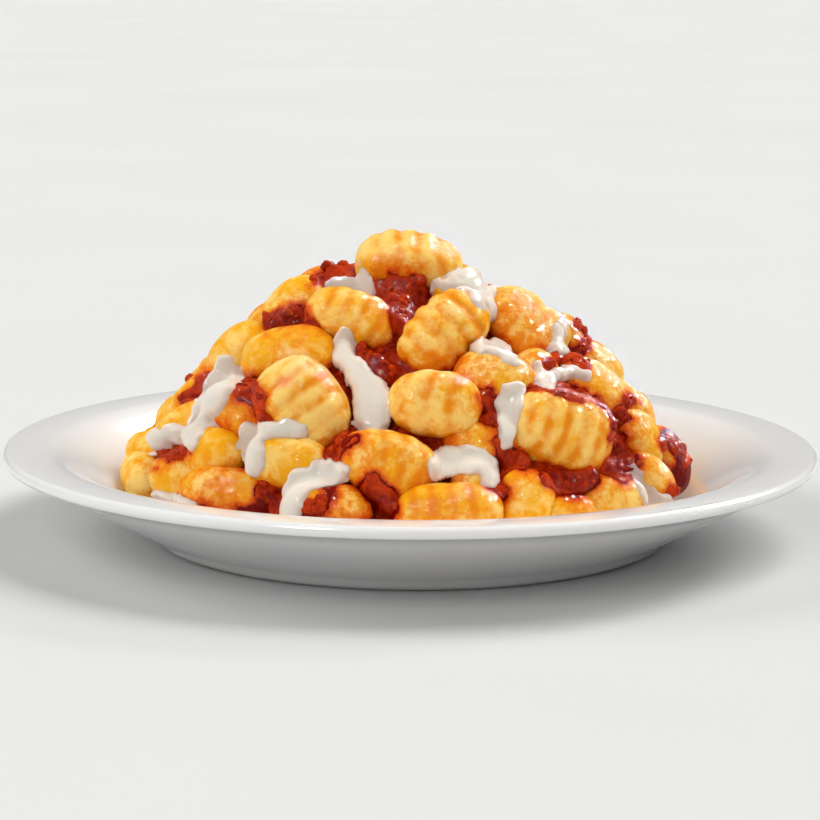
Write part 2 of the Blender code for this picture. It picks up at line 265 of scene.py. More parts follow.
# Patches of tomato sauce that lie over the gnocchi: 1 for the front or -1 for the back,
# then points of across, up and half width along each patch.
SAUCE_PATCHES = [
    (1, [(-30, 80, 1.8), (-25, 83.4, 2.6), (-20, 85, 2.4)]),
    (1, [(-45, 68.7, 2.2), (-40, 71.2, 3.0), (-34.6, 73.4, 2.6)]),
    (1, [(-9, 81, 2.6), (-3.5, 80.8, 3.0), (2.1, 81.7, 2.2)]),
    (1, [(-4.4, 78.6, 3.2), (-2.8, 75.9, 3.2)]),
    (1, [(-15, 66, 2.4), (-12, 63.6, 3.0), (-7, 61.7, 3.0)]),
    (1, [(21.9, 54.8, 2.2), (24.3, 51.2, 2.8), (26, 47.4, 2.4)]),
    (1, [(25.4, 43.4, 2.2), (28.6, 40.1, 2.8), (31.9, 37.3, 2.6)]),
    (1, [(41.2, 60.9, 1.2), (45.9, 62.6, 1.6), (50.9, 61.7, 1.6), (53.9, 58.6, 1.2)]),
    (1, [(52.5, 62.7, 1.8), (55.9, 62.4, 1.6)]),
    (1, [(53.4, 68, 1.2), (56.6, 66.5, 1.0)]),
    (1, [(37.8, 55.8, 1.6), (43.2, 55.5, 2.2), (48.5, 53.6, 2.2), (53.8, 50.6, 2.0)]),
    (1, [(53.8, 50.6, 2.0), (57.9, 48.7, 1.8)]),
    (1, [(60, 45.1, 2.6), (63, 40.3, 3.2), (65.7, 36, 3.0), (66.8, 33, 2.4)]),
    (1, [(61.3, 34, 2.0), (65.3, 30, 2.0)]),
    (1, [(64.9, 46, 1.6), (66.4, 44.3, 1.6)]),
    (1, [(68.1, 47.5, 1.2), (71.9, 45.9, 1.2)]),
    (1, [(41.8, 32.6, 3.0), (47.5, 31, 3.6), (53.4, 30.8, 3.2)]),
    (1, [(80.8, 34.1, 2.4), (84.7, 29.6, 3.0), (87, 24.6, 3.0)]),
    (1, [(81.2, 22.2, 2.2), (83.5, 19.5, 1.6)]),
    (1, [(-69.5, 47.1, 2.2), (-65.7, 51, 2.6), (-64.3, 53.1, 1.8)]),
    (1, [(-51.9, 52.5, 2.2), (-48.5, 53.2, 2.8), (-46, 51, 2.4)]),
    (1, [(-46, 51, 2.4), (-44, 47.5, 2.0), (-41.5, 44.8, 1.6)]),
    (1, [(-81.2, 30.5, 1.6), (-74.7, 32, 2.0), (-69, 34.7, 1.8)]),
    (1, [(-78.5, 27.2, 1.0)]),
    (1, [(-43, 28.6, 2.2), (-39.9, 26.2, 2.6), (-38.6, 23.7, 2.4)]),
    (1, [(-17.1, 44, 2.4), (-20.6, 41.3, 2.6), (-23.5, 38, 2.2)]),
    (1, [(-11.6, 33.8, 2.4), (-9.2, 30.2, 2.8), (-6.3, 26.5, 2.6)]),
    (1, [(-30.3, 25.5, 2.2), (-26.8, 27.3, 2.0), (-23.9, 29.6, 1.6)]),
    (1, [(24.1, 31, 2.0), (27.1, 30.2, 2.0)]),
    (-1, [(-20, 78, 3.0), (-14, 74, 3.6), (-8, 74, 2.6)]),
    (-1, [(24, 70, 2.6), (30, 64, 3.6), (28, 58, 2.6)]),
    (-1, [(-50, 60, 2.6), (-52, 53, 3.4)]),
    (-1, [(4, 55, 3.0), (-2, 50, 3.6), (2, 44, 2.8)]),
    (-1, [(56, 50, 2.6), (62, 44, 3.2), (60, 38, 2.6)]),
    (-1, [(-30, 46, 2.6), (-26, 40, 3.4)]),
    (-1, [(-58, 34, 3.0), (-50, 30, 3.4)]),
    (-1, [(8, 30, 3.0), (16, 26, 3.4)]),
    (-1, [(48, 26, 3.0), (56, 24, 2.8)]),
]

# Ribbons of cream, given in the same way.
CREAM_RIBBONS = [
    (1, [(-26, 80, 1.6), (-20.7, 81, 2.2), (-15, 80.3, 2.4), (-16.5, 83.6, 1.2)]),
    (1, [(5.6, 81.6, 1.3), (9.7, 82.2, 2.6), (14.4, 82.2, 3.6), (18.6, 80.8, 4.4)]),
    (1, [(18.6, 80.8, 4.4), (22.6, 78.2, 3.8), (24.2, 75.8, 2.4)]),
    (1, [(-20.3, 69.1, 2.6), (-20.8, 66.7, 3.4), (-19.8, 64.2, 3.6), (-17, 61.5, 3.2)]),
    (1, [(-17, 61.5, 3.2), (-13.9, 59, 3.8), (-12, 56.6, 5.0), (-11.6, 51, 6.2)]),
    (1, [(-15, 50.5, 2.8), (-15, 48.6, 2.0)]),
    (1, [(-8.6, 50.5, 3.2), (-8.8, 48.8, 2.2)]),
    (1, [(21, 67.1, 2.0), (24.6, 66.5, 2.8), (27.7, 65.3, 2.8), (31, 62.8, 1.8)]),
    (1, [(-56.5, 57.5, 3.4), (-58.6, 53.2, 4.2), (-61, 49.3, 4.0), (-63.9, 44.8, 3.4)]),
    (1, [(-63.9, 44.8, 3.4), (-65.9, 40.9, 3.0), (-67.2, 37.2, 2.2)]),
    (1, [(-81, 33, 2.6), (-76.2, 36.1, 3.0), (-71.6, 38.2, 3.2), (-67.6, 39.5, 2.4)]),
    (1, [(-48, 43, 3.6), (-47.5, 39, 3.8), (-46.8, 34.4, 3.0)]),
    (1, [(-46, 43, 3.0), (-40.6, 44.6, 3.0), (-36.4, 45.8, 2.6), (-32.2, 45.5, 2.0)]),
    (1, [(-18.5, 35.8, 2.2), (-23.5, 35.4, 3.6), (-27.3, 34.6, 4.2), (-31.1, 32.2, 4.4)]),
    (1, [(-31.1, 32.2, 4.4), (-34, 28.9, 3.8), (-35.6, 22, 3.2)]),
    (1, [(7.4, 36, 3.2), (9, 37.7, 3.8), (12.3, 38.8, 4.2), (15.9, 39.2, 4.4)]),
    (1, [(15.9, 39.2, 4.4), (19.4, 38.2, 4.4), (22.6, 36.2, 3.8), (24, 33, 2.4)]),
    (1, [(31.5, 55.5, 3.2), (29.7, 52.1, 3.6), (28.5, 48.9, 3.4), (28.1, 45.3, 3.0)]),
    (1, [(28.1, 45.3, 3.0), (29, 42.2, 2.4)]),
    (1, [(47.3, 69, 1.2), (47.7, 67.3, 1.6), (46, 65, 1.6), (49, 62.8, 1.0)]),
    (1, [(38.7, 61.5, 1.6), (39.6, 59, 2.4), (42, 56.8, 2.2)]),
    (1, [(44, 58, 1.4), (48, 58.6, 2.0), (53, 56.8, 1.4)]),
    (1, [(68.6, 31.6, 1.6), (70.0, 26.5, 2.4), (73, 22, 3.0), (77, 19.8, 2.8)]),
    (1, [(-76, 21.6, 2.0), (-70, 21.8, 2.4), (-65, 21.6, 1.6)]),
    (-1, [(-10, 78, 2.5), (-4, 75, 3.5), (4, 72, 4.5), (12, 62, 3.5), (10, 56, 3.0)]),
    (-1, [(32, 68, 2.5), (38, 64, 3.5), (44, 58, 4.5), (52, 50, 3.5), (50, 42, 3.0)]),
    (-1, [(-34, 72, 2.5), (-42, 62, 4.5), (-38, 52, 3.5), (-46, 44, 3.0)]),
    (-1, [(-66, 48, 2.5), (-72, 38, 3.5), (-66, 28, 3.0)]),
    (-1, [(-16, 46, 3.0), (-8, 38, 5.0), (-12, 30, 3.5), (-6, 24, 3.0)]),
    (-1, [(26, 40, 3.0), (34, 32, 4.5), (30, 24, 3.0)]),
    (-1, [(74, 38, 2.5), (78, 30, 3.5), (74, 22, 3.0)]),
]

# The eye in front of the plate, and the point that it looks at. Spots and ribbons of the
# front are as wide as they look from there.
EYE = np.array([0.0, -879.2, 192.5])
LOOKED_AT = np.array([0.0, 0.0, 40.0])

# Finishes.
# Gold of the grooves: partly oil, partly painted shade of the grooves.
GROOVE_OIL_AND_SHADE = (0.80, 0.255, 0.004)
OILY_ORANGE = (0.82, 0.235, 0.005)
STAINED_RED = (0.68, 0.085, 0.004)
BARE_CLAY = (0.58, 0.54, 0.49)

# Lights far off: name, the way they come from, their width in degrees, strength, whether
# they light surfaces, and whether they show in wet ones.
LIGHTS = [
    ("front_fill", (-0.35, -0.90, 0.60), 30.0, 0.98, True, False),
    ("left_fill", (-0.85, 0.10, 0.60), 40.0, 1.2, True, False),
    ("overhead_right", (0.50, 0.12, 0.95), 40.0, 1.8, True, False),
    ("back_right", (0.75, 0.55, 0.60), 14.0, 0.7, True, False),
    ("back_right_shine", (0.75, 0.50, 0.65), 8.0, 9.0, False, True),
    ("back_shine", (0.35, 0.62, 0.68), 6.0, 4.0, False, True),
    ("front_shine", (-0.35, -0.50, 0.70), 6.0, 3.5, False, True),
]
LIGHT_COLOUR = (1.0, 0.995, 0.98)
LIGHT_AIM = (0.0, 0.0, 0.045)
STUDIO_STRENGTH = 0.32

# The camera's aim in metres and its roll in radians, and the floor in millimetres.
VIEW_AIM = (-0.0002, 0.0, 0.0400)
VIEW_ROLL = 0.0074
SENSOR_WIDTH = 36.0
FLOOR_EDGE = 15000.0
FLOOR_LEVEL = -0.2


# ---------------------------------------------------------------------------------------
# Settings that a user would change


class PlateSettings(bpy.types.PropertyGroup):
    """Sizes and colour of the plate"""

    segments: IntProperty(
        name="Segments", description="Steps round the turned plate", default=240, min=32
    )
    colour: FloatVectorProperty(
        name="Porcelain", description="Colour of the glaze", subtype="COLOR", size=3,
        default=(0.80, 0.80, 0.80), min=0.0, max=1.0,
    )


class GnocchiSettings(bpy.types.PropertyGroup):
    """Shape and colours of the gnocchi"""

    thickness: FloatProperty(
        name="Thickness", description="Thickness of a gnocco over its width", default=0.9
    )
    squareness: FloatProperty(
        name="Squareness", description="Below 1 a gnocco is blunter than an egg", default=0.86
    )
    groove_depth: FloatProperty(
        name="Grooves", description="Depth of the grooves over the usual depth", default=1.0
    )
    lump_height: FloatProperty(
        name="Lumps", description="Height of the soft unevenness, in millimetres", default=0.8
    )
    pale: FloatVectorProperty(
        name="Pale dough", description="Colour of the clean ridges", subtype="COLOR", size=3,
        default=(0.94, 0.63, 0.17), min=0.0, max=1.0,
    )
    golden: FloatVectorProperty(
        name="Golden dough", description="Colour of the oiled dough", subtype="COLOR", size=3,
        default=(0.88, 0.40, 0.006), min=0.0, max=1.0,
    )


class SauceSettings(bpy.types.PropertyGroup):
    """Level and colours of the tomato sauce"""

    drop: FloatProperty(
        name="Level", description="How far the sauce lies below the heap's mean surface",
        default=7.0,
    )
    smoothing: FloatProperty(
        name="Smoothing", description="Spread used for the mean surface", default=6.0
    )
    pulp: FloatProperty(
        name="Pulp height", description="Height of the pulp over its width", default=0.42
    )
    coat: FloatProperty(
        name="Coat", description="Thickness of the patches over the gnocchi, in millimetres",
        default=1.4,
    )
    chunks: IntProperty(
        name="Chunks", description="Number of loose pieces of tomato pulp", default=360, min=0
    )
    deep: FloatVectorProperty(
        name="Deep sauce", description="Colour where the sauce lies thick", subtype="COLOR",
        size=3, default=(0.17, 0.0018, 0.0002), min=0.0, max=1.0,
    )
    bright: FloatVectorProperty(
        name="Thin sauce", description="Colour where the sauce lies thin", subtype="COLOR",
        size=3, default=(0.80, 0.070, 0.005), min=0.0, max=1.0,
    )


class CreamSettings(bpy.types.PropertyGroup):
    """Thickness and colour of the cream"""

    thickness: FloatProperty(
        name="Thickness", description="Thickness of the ribbons, in millimetres", default=1.5
    )
    edge: FloatProperty(
        name="Edge", description="Width of a ribbon's rounded edge, in millimetres", default=2.8
    )
    colour: FloatVectorProperty(
        name="Cream", description="Colour of the cream", subtype="COLOR", size=3,
        default=(0.85, 0.73, 0.60), min=0.0, max=1.0,
    )


class StageSettings(bpy.types.PropertyGroup):
    """Camera, lights and floor"""

    distance: FloatProperty(
        name="Distance", description="Camera to the middle of the plate's foot", default=0.9,
        unit="LENGTH",
    )
    elevation: FloatProperty(
        name="Elevation", description="Height of the camera above the table",
        default=math.radians(12.35), subtype="ANGLE",
    )
    lens: FloatProperty(
        name="Lens", description="Focal length on a 36 mm sensor", default=122.0, unit="CAMERA"
    )
    floor: FloatVectorProperty(
        name="Floor", description="Colour of the floor", subtype="COLOR", size=3,
        default=(0.66, 0.66, 0.66), min=0.0, max=1.0,
    )


# ---------------------------------------------------------------------------------------
# Numbers on whole arrays


def smooth_step(low, high, value):
    """0 below low, 1 above high, and 3t^2 - 2t^3 of the share t between them."""
    t = np.clip((value - low) / (high - low), 0.0, 1.0)
    return t * t * (3.0 - 2.0 * t)


def noise(points, size, seed):
    """Smooth value noise from 0 to 1 with features of a size.

    A repeating lattice of random values is read at the eight corners round each point and
    blended with the smooth step of the place between them.
    """
    count = 32
    lattice = np.random.default_rng(seed).random((count, count, count))
    place = np.asarray(points) / size + 1000.0
    corner = np.floor(place).astype(int)
    share = smooth_step(0.0, 1.0, place - corner)
    total = np.zeros(place.shape[:-1])
    for dx in (0, 1):
        for dy in (0, 1):
            for dz in (0, 1):
                step = np.array([dx, dy, dz])
                weight = np.prod(np.where(step == 1, share, 1.0 - share), axis=-1)
                cell = (corner + step) % count
                total += weight * lattice[cell[..., 0], cell[..., 1], cell[..., 2]]
    return total


def rough_noise(points, size, seed, octaves=3):
    """A sum of noises, each half as large and half as strong as the one before."""
    weights = 0.5 ** np.arange(octaves)
    layers = [w * noise(points, size * w, seed + i) for i, w in enumerate(weights)]
    return sum(layers) / weights.sum()


def blur(field, cells):
    """Gaussian blur of a square field: a weighted sum of shifted copies along each axis."""
    reach = int(math.ceil(3.0 * cells))
    taps = np.exp(-0.5 * (np.arange(-reach, reach + 1) / cells) ** 2)
    taps /= taps.sum()
    for axis in (0, 1):
        pad = [(reach, reach) if i == axis else (0, 0) for i in (0, 1)]
        wide = np.pad(field, pad, mode="edge")
        length = field.shape[axis]
        field = sum(
            tap * np.take(wide, np.arange(k, k + length), axis=axis)
            for k, tap in enumerate(taps)
        )
    return field


def quarter_circle(share):
    """0 at a share of 0 or less, 1 from a share of 1 on, and round between them."""
    share = np.clip(share, 0.0, 1.0)
    return np.sqrt(1.0 - (1.0 - share) ** 2)


def last_inside(outside, inner, outer, steps):
    """The place between two where a line leaves a body, by halving the gap in steps."""
    for _ in range(steps):
        middle = 0.5 * (inner + outer)
        free = outside(middle)
        outer = np.where(free, middle, outer)
        inner = np.where(free, inner, middle)
    return inner


def unit(vectors):
    """Each vector over its own length."""
    return vectors / np.linalg.norm(vectors, axis=-1, keepdims=True)


# ---------------------------------------------------------------------------------------
# Meshes


def make_piece(name, points, quads, tris, material, attributes):
    """A smooth mesh object from arrays, in millimetres, with its attributes and material."""
    mesh = bpy.data.meshes.new(name)
    loops = np.concatenate([quads.ravel(), tris.ravel()]).astype(np.int32)
    sizes = np.concatenate([np.full(len(quads), 4), np.full(len(tris), 3)])
    starts = np.concatenate([[0], np.cumsum(sizes)[:-1]]).astype(np.int32)
    mesh.vertices.add(len(points))
    mesh.vertices.foreach_set("co", (points * MM).astype(np.float32).ravel())
    mesh.loops.add(len(loops))
    mesh.loops.foreach_set("vertex_index", loops)
    mesh.polygons.add(len(sizes))
    mesh.polygons.foreach_set("loop_start", starts)
    mesh.update(calc_edges=True)
    mesh.validate()
    mesh.shade_smooth()
    for key, values in attributes.items():
        layer = mesh.attributes.new(key, "FLOAT", "POINT")
        layer.data.foreach_set("value", values.astype(np.float32).ravel())
    mesh.materials.append(material)
    piece = bpy.data.objects.new(name, mesh)
    bpy.context.scene.collection.objects.link(piece)
    return piece


def keep(piece, slot, *nodes):
    """Ride on the one body and stand for the nodes given. The slot is not used."""
    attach(piece, "root")
    if nodes:
        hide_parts(*nodes)


def ball_faces(rings, around):
    """Faces of a closed shape: first pole, rings of points, last pole, outward faces."""
    i, j = np.meshgrid(np.arange(rings - 1), np.arange(around), indexing="ij")
    after = (j + 1) % around
    start = 1 + i * around
    quads = np.stack([start + j, start + around + j, start + around + after, start + after], -1)
    j = np.arange(around)
    after = (j + 1) % around
    last = 1 + (rings - 1) * around
    top = np.stack([np.zeros_like(j), 1 + j, 1 + after], -1)
    low = np.stack([last + j, np.full_like(j, last + around), last + after], -1)
    return quads.reshape(-1, 4), np.concatenate([top, low])


# ---------------------------------------------------------------------------------------
# The heap's layout


def dome_radius(height):
    """Radius of the dome of centres at a height: R sqrt(1 - share^power)."""
    share = np.clip((height - DOME_BASE) / DOME_HEIGHT, 0.0, 1.0)
    return DOME_RADIUS * np.sqrt(1.0 - share**DOME_POWER)


def plate_top(radius):
    """Height of the plate's upper face: a smooth step from the floor to the shoulder."""
    rise = SHOULDER_HEIGHT - FLOOR_HEIGHT
    return FLOOR_HEIGHT + rise * smooth_step(FLOOR_RADIUS, SHOULDER_RADIUS, radius)


class Gnocco:
    """One gnocco: where it lies, how it is turned, and what it looks like."""

    def __init__(self, centre, axis, out, length, width, looks, thickness, front):
        self.axis = unit(axis)
        self.out = unit(out - self.axis * np.dot(out, self.axis))
        self.side = np.cross(self.out, self.axis)
        self.half = 0.5 * np.array([width, width * thickness, length])
        self.centre = self.lifted(centre)
        self.pitch, self.depth, self.tone, self.stain, self.bend, self.taper, self.box = looks
        self.front = front
        draw = np.random.default_rng(int(abs(centre[0] * 7 + centre[1] * 13 + centre[2] * 17)))
        self.waist = draw.uniform(0.0, 0.06)
        self.phase = draw.uniform(-0.15, 0.15)
        self.curve = draw.uniform(-0.5, 0.5)
        self.shift = draw.uniform(0.0, 500.0, 3)

    def lifted(self, centre):
        """Raise the centre until a body of this width clears the plate."""
        centre = np.array(centre, dtype=float)
        radius = math.hypot(centre[0], centre[1])
        half = self.half[1]
        for share in CLEAR_SHARES:
            needed = plate_top(radius + half * share) + half * math.sqrt(1.0 - share * share)
            centre[2] = max(centre[2], needed)
        return centre

    def kind(self):
        """Which of the three joined pieces it belongs to."""
        if self.pitch:
            return "ridged"
        return "long" if self.half[2] > LONG_HALF else "short"


def front_gnocchi(thickness):
    """The listed gnocchi, each at the depth where the dome has its place across and up."""
    made = []
    for row in FRONT_GNOCCHI:
        across, height, back, turn, swing, length, width = row[:7]
        depth = math.sqrt(max(dome_radius(height) ** 2 - across**2, 0.0))
        centre = np.array([across, back - depth, height], dtype=float)
        turn, swing = math.radians(turn), math.radians(swing)
        axis = np.array([math.cos(turn), 0.0, math.sin(turn)]) * math.cos(swing)
        axis[1] -= math.sin(swing)
        out = unit(centre - np.array([0.0, 0.0, DOME_BASE]))
        out[1] -= FRONT_FACING
        made.append(Gnocco(centre, axis, out, length, width, row[7:], thickness, True))
    return made


def back_gnocchi(thickness):
    """Rings of gnocchi over the rest of the dome, each a little out of line."""
    draw = random.Random(SEED)
    looks = random.Random(SEED + 1)

    def stray(limit):
        """A random step either way."""
        return draw.uniform(-limit, limit)

    made = []
    for height, count, first, last in BACK_RINGS:
        for i in range(count):
            bearing = first + (last - first) * i / (count - 1) + stray(BACK_BEARING_STRAY)
            level = height + stray(BACK_HEIGHT_STRAY)
            lean = math.radians(stray(BACK_LEAN))
            bearing = math.radians(bearing)
            low = max(level - SLOPE_STEP, DOME_BASE)
            high = level + SLOPE_STEP
            slope = unit(np.array([dome_radius(high) - dome_radius(low), high - low]))
            radial = np.array([math.sin(bearing), -math.cos(bearing), 0.0])
            along = np.array([math.cos(bearing), math.sin(bearing), 0.0])
            up = radial * slope[0] + np.array([0.0, 0.0, slope[1]])
            out = np.cross(along, up)
            centre = radial * dome_radius(level) + np.array([0.0, 0.0, level])
            axis = along * math.cos(lean) + up * math.sin(lean)
            centre = centre + out * stray(BACK_DEPTH_STRAY)
            length = draw.uniform(*BACK_LENGTHS)
            width = length * draw.uniform(*BACK_WIDTHS)
            ridged = looks.random() < BACK_RIDGED
            groove = [looks.uniform(*limits) if ridged else 0.0 for limits in BACK_GROOVES]
            look = groove + [looks.uniform(*limits) for limits in BACK_LOOKS]
            made.append(Gnocco(centre, axis, out, length, width, look, thickness, False))
    return made


# ---------------------------------------------------------------------------------------
# The shape of one gnocco


def groove_depth(gnocco, along, side, out):
    """Share of the full groove depth, 0 to 1, at a place on the gnocco.

    Grooves run round the body at even steps along it, curved by the square of the place
    across. Each is a raised cosine to a power, and they fade towards both ends and round
    the back.
    """
    if not gnocco.pitch:
        return np.zeros_like(along)
    place = along * gnocco.half[2] / gnocco.pitch + gnocco.phase
    place = place + gnocco.curve * side * side
    wave = (0.5 + 0.5 * np.cos(2.0 * math.pi * (place + 0.5))) ** GROOVE_POWER
    ends = 1.0 - smooth_step(*GROOVE_ENDS, np.abs(along))
    return wave * ends * smooth_step(*GROOVE_SIDES, out)


def body_radius(gnocco, along, side, out, settings):
    """Radius of the gnocco over its plain half width, at a share along its length.

    A superellipse along it and a squarish one round it, times a taper and a slight waist,
    less the grooves. side and out are the sine and cosine of the direction round the body.
    """
    power = 2.0 / settings.squareness
    plain = np.clip(1.0 - np.abs(along) ** power, 0.0, 1.0) ** (1.0 / power)
    round_power = gnocco.box
    corner = np.abs(side) ** round_power + np.abs(out) ** round_power
    corner = np.maximum(corner, 1e-6) ** (-1.0 / round_power)
    shape = 1.0 + gnocco.taper * along - gnocco.waist * np.exp(-((along / WAIST_LENGTH) ** 2))
    groove = groove_depth(gnocco, along, side, out) * settings.groove_depth
    return plain * shape * corner * (1.0 - gnocco.depth / gnocco.half[0] * groove)


def gnocco_grid(gnocco, rings, around, settings):
    """Points of one gnocco in millimetres, first pole to last, and its groove shares.

    Two parameters: the angle t from one end to the other, and the angle round the body.
    Along the length the place is cos t to the power of the squareness, the radius there
    comes from body_radius, the ends bend inwards with the square of the place, and soft
    noise lifts the whole surface. What would pass into the plate stays SUNK under its top.
    """
    t = np.linspace(0.0, math.pi, rings + 2)
    along = np.sign(np.cos(t)) * np.abs(np.cos(t)) ** settings.squareness
    turn = np.linspace(0.0, 2.0 * math.pi, around, endpoint=False)
    along, turn = np.meshgrid(along[1:-1], turn, indexing="ij")
    side, out = np.cos(turn), np.sin(turn)
    radius = body_radius(gnocco, along, side, out, settings)
    local = np.stack([radius * side, radius * out, along], axis=-1).reshape(-1, 3)
    poles = np.array([[0.0, 0.0, 1.0], [0.0, 0.0, -1.0]])
    local = np.concatenate([poles[:1], local, poles[1:]]) * gnocco.half
    place = local + gnocco.shift
    lump = (rough_noise(place, *DOUGH_LUMPS, octaves=2) - 0.5) * 2.0
    lump += (noise(place, *DOUGH_DENTS) - 0.5) * DENT_SHARE
    local = local + unit(local) * lump[:, None] * settings.lump_height
    local[:, 1] -= gnocco.bend * (local[:, 2] / gnocco.half[2]) ** 2
    points = gnocco.centre + local @ np.stack([gnocco.side, gnocco.out, gnocco.axis])
    wall = plate_top(np.hypot(points[:, 0], points[:, 1]))
    points[:, 2] = np.maximum(points[:, 2], wall - SUNK)
    groove = groove_depth(gnocco, along, side, out).ravel()
    return points, np.concatenate([[0.0], groove, [0.0]])


# ---------------------------------------------------------------------------------------
# A flat map of the heap, as seen from its heart


def chart_grid():
    """Map places: distance from the middle is the angle from +Z, direction the bearing."""
    line = np.arange(-CHART_EDGE, CHART_EDGE + CHART_CELL, CHART_CELL)
    return np.meshgrid(line, line)


def chart_directions(u, v):
    """Unit vectors from the heart for places on the map."""
    far = np.hypot(u, v)
    angle = far / CHART_SCALE
    flat = np.sin(angle) / np.maximum(far, 1e-9)
    return np.stack([u * flat, v * flat, np.cos(angle)], axis=-1)


def chart_place(points):
    """Map place and distance from the heart, for points in millimetres."""
    gap = points - HEART
    reach = np.linalg.norm(gap, axis=-1)
    flat = np.maximum(np.hypot(gap[..., 0], gap[..., 1]), 1e-9)
    far = np.arctan2(flat, gap[..., 2]) * CHART_SCALE
    return gap[..., 0] / flat * far, gap[..., 1] / flat * far, reach


def chart_read(field, u, v):
    """Value of a map at places on it, blended from the four cells round each."""
    limit = field.shape[0] - 1.001
    x = np.clip((u + CHART_EDGE) / CHART_CELL, 0.0, limit)
    y = np.clip((v + CHART_EDGE) / CHART_CELL, 0.0, limit)
    i, j = x.astype(int), y.astype(int)
    x, y = x - i, y - j
    low = field[j, i] * (1.0 - x) + field[j, i + 1] * x
    high = field[j + 1, i] * (1.0 - x) + field[j + 1, i + 1] * x
    return low * (1.0 - y) + high * y


def on_heap(across, height, face):
    """A point given as it is seen from the front (1) or the back (-1), in millimetres.

    It lies on the dome of centres grown by the skin depth.
    """
    across = np.asarray(across, dtype=float)
    height = np.asarray(height, dtype=float)
    inner = np.minimum(height, DOME_BASE + DOME_HEIGHT)
    over = np.clip((height - DOME_BASE) / (DOME_HEIGHT + SKIN_DEPTH), 0.0, 1.0)
    radius = dome_radius(inner) + SKIN_DEPTH * np.sqrt(1.0 - over * over)
    depth = np.sqrt(np.maximum(radius**2 - across**2, 0.0))
    return np.stack([across, -face * depth, height], axis=-1)


def seen_from_front(points):
    """Place across and up in the eye's view, in millimetres at the plate's middle."""
    ahead = unit(LOOKED_AT - EYE)
    right = unit(np.cross(ahead, [0.0, 0.0, 1.0]))
    up = np.cross(right, ahead)
    gap = points - EYE
    scale = np.linalg.norm(LOOKED_AT - EYE) / (gap @ ahead)
    return gap @ right * scale, gap @ up * scale


def widest(field, cells):
    """Highest value within a number of cells, in a square: the highest of shifted copies."""
    for axis in (0, 1):
        pad = [(cells, cells) if i == axis else (0, 0) for i in (0, 1)]
        wide = np.pad(field, pad, mode="edge")
        rows = np.arange(field.shape[axis])
        best = field
        for k in range(2 * cells + 1):
            best = np.maximum(best, np.take(wide, rows + k, axis=axis))
        field = best
    return field


def bridged(field, reach):
    """Fill hollows narrower than twice a reach: spread the heights out, then back in."""
    cells = int(round(reach / CHART_CELL))
    return -widest(-widest(field, cells), cells)


def gnocco_reach(gnocco, directions, settings):
    """Distance from the heart to the far side of a gnocco, and 0 where a line misses it.

    A line is brought to its nearest place to the gnocco's middle, in its own stretched
    space. From there to well outside, the surface is found by halving.
    """
    turn = np.stack([gnocco.side, gnocco.out, gnocco.axis]) / gnocco.half[:, None]
    start = turn @ (HEART - gnocco.centre)
    step = directions @ turn.T
    near = -(step @ start) / np.sum(step * step, axis=-1)
    far = near + 1.4 * gnocco.half.max()

    def outside(reach):
        place = start + step * reach[:, None]
        along = place[:, 2]
        out = place[:, 1] + gnocco.bend * along**2 / gnocco.half[1]
        radius = np.hypot(place[:, 0], out)
        safe = np.maximum(radius, 1e-9)
        surface = body_radius(gnocco, along, place[:, 0] / safe, out / safe, settings)
        return (radius > surface) | (np.abs(along) >= 1.0)

    return np.where(outside(near), 0.0, last_inside(outside, near, far, 16))


def bed_reach(directions):
    """Distance from the heart to the bed, a little inside the dome of centres."""

    def outside(reach):
        place = HEART + directions * reach[..., None]
        radius = np.hypot(place[..., 0], place[..., 1])
        over = place[..., 2] > DOME_BASE + DOME_HEIGHT
        return over | (radius > dome_radius(place[..., 2]) - BED_DEPTH)

    near = np.zeros(directions.shape[:-1])
    return last_inside(outside, near, near + DOME_RADIUS + 30.0, 20)


def plate_reach(directions, gap):
    """Distance from the heart at which a line comes within a gap of the plate."""

    def sunk(reach):
        place = HEART + directions * reach[..., None]
        radius = np.hypot(place[..., 0], place[..., 1])
        return place[..., 2] < plate_top(radius) + gap

    near = np.zeros(directions.shape[:-1])
    return last_inside(sunk, near, near + PLATE_RADIUS, 24)


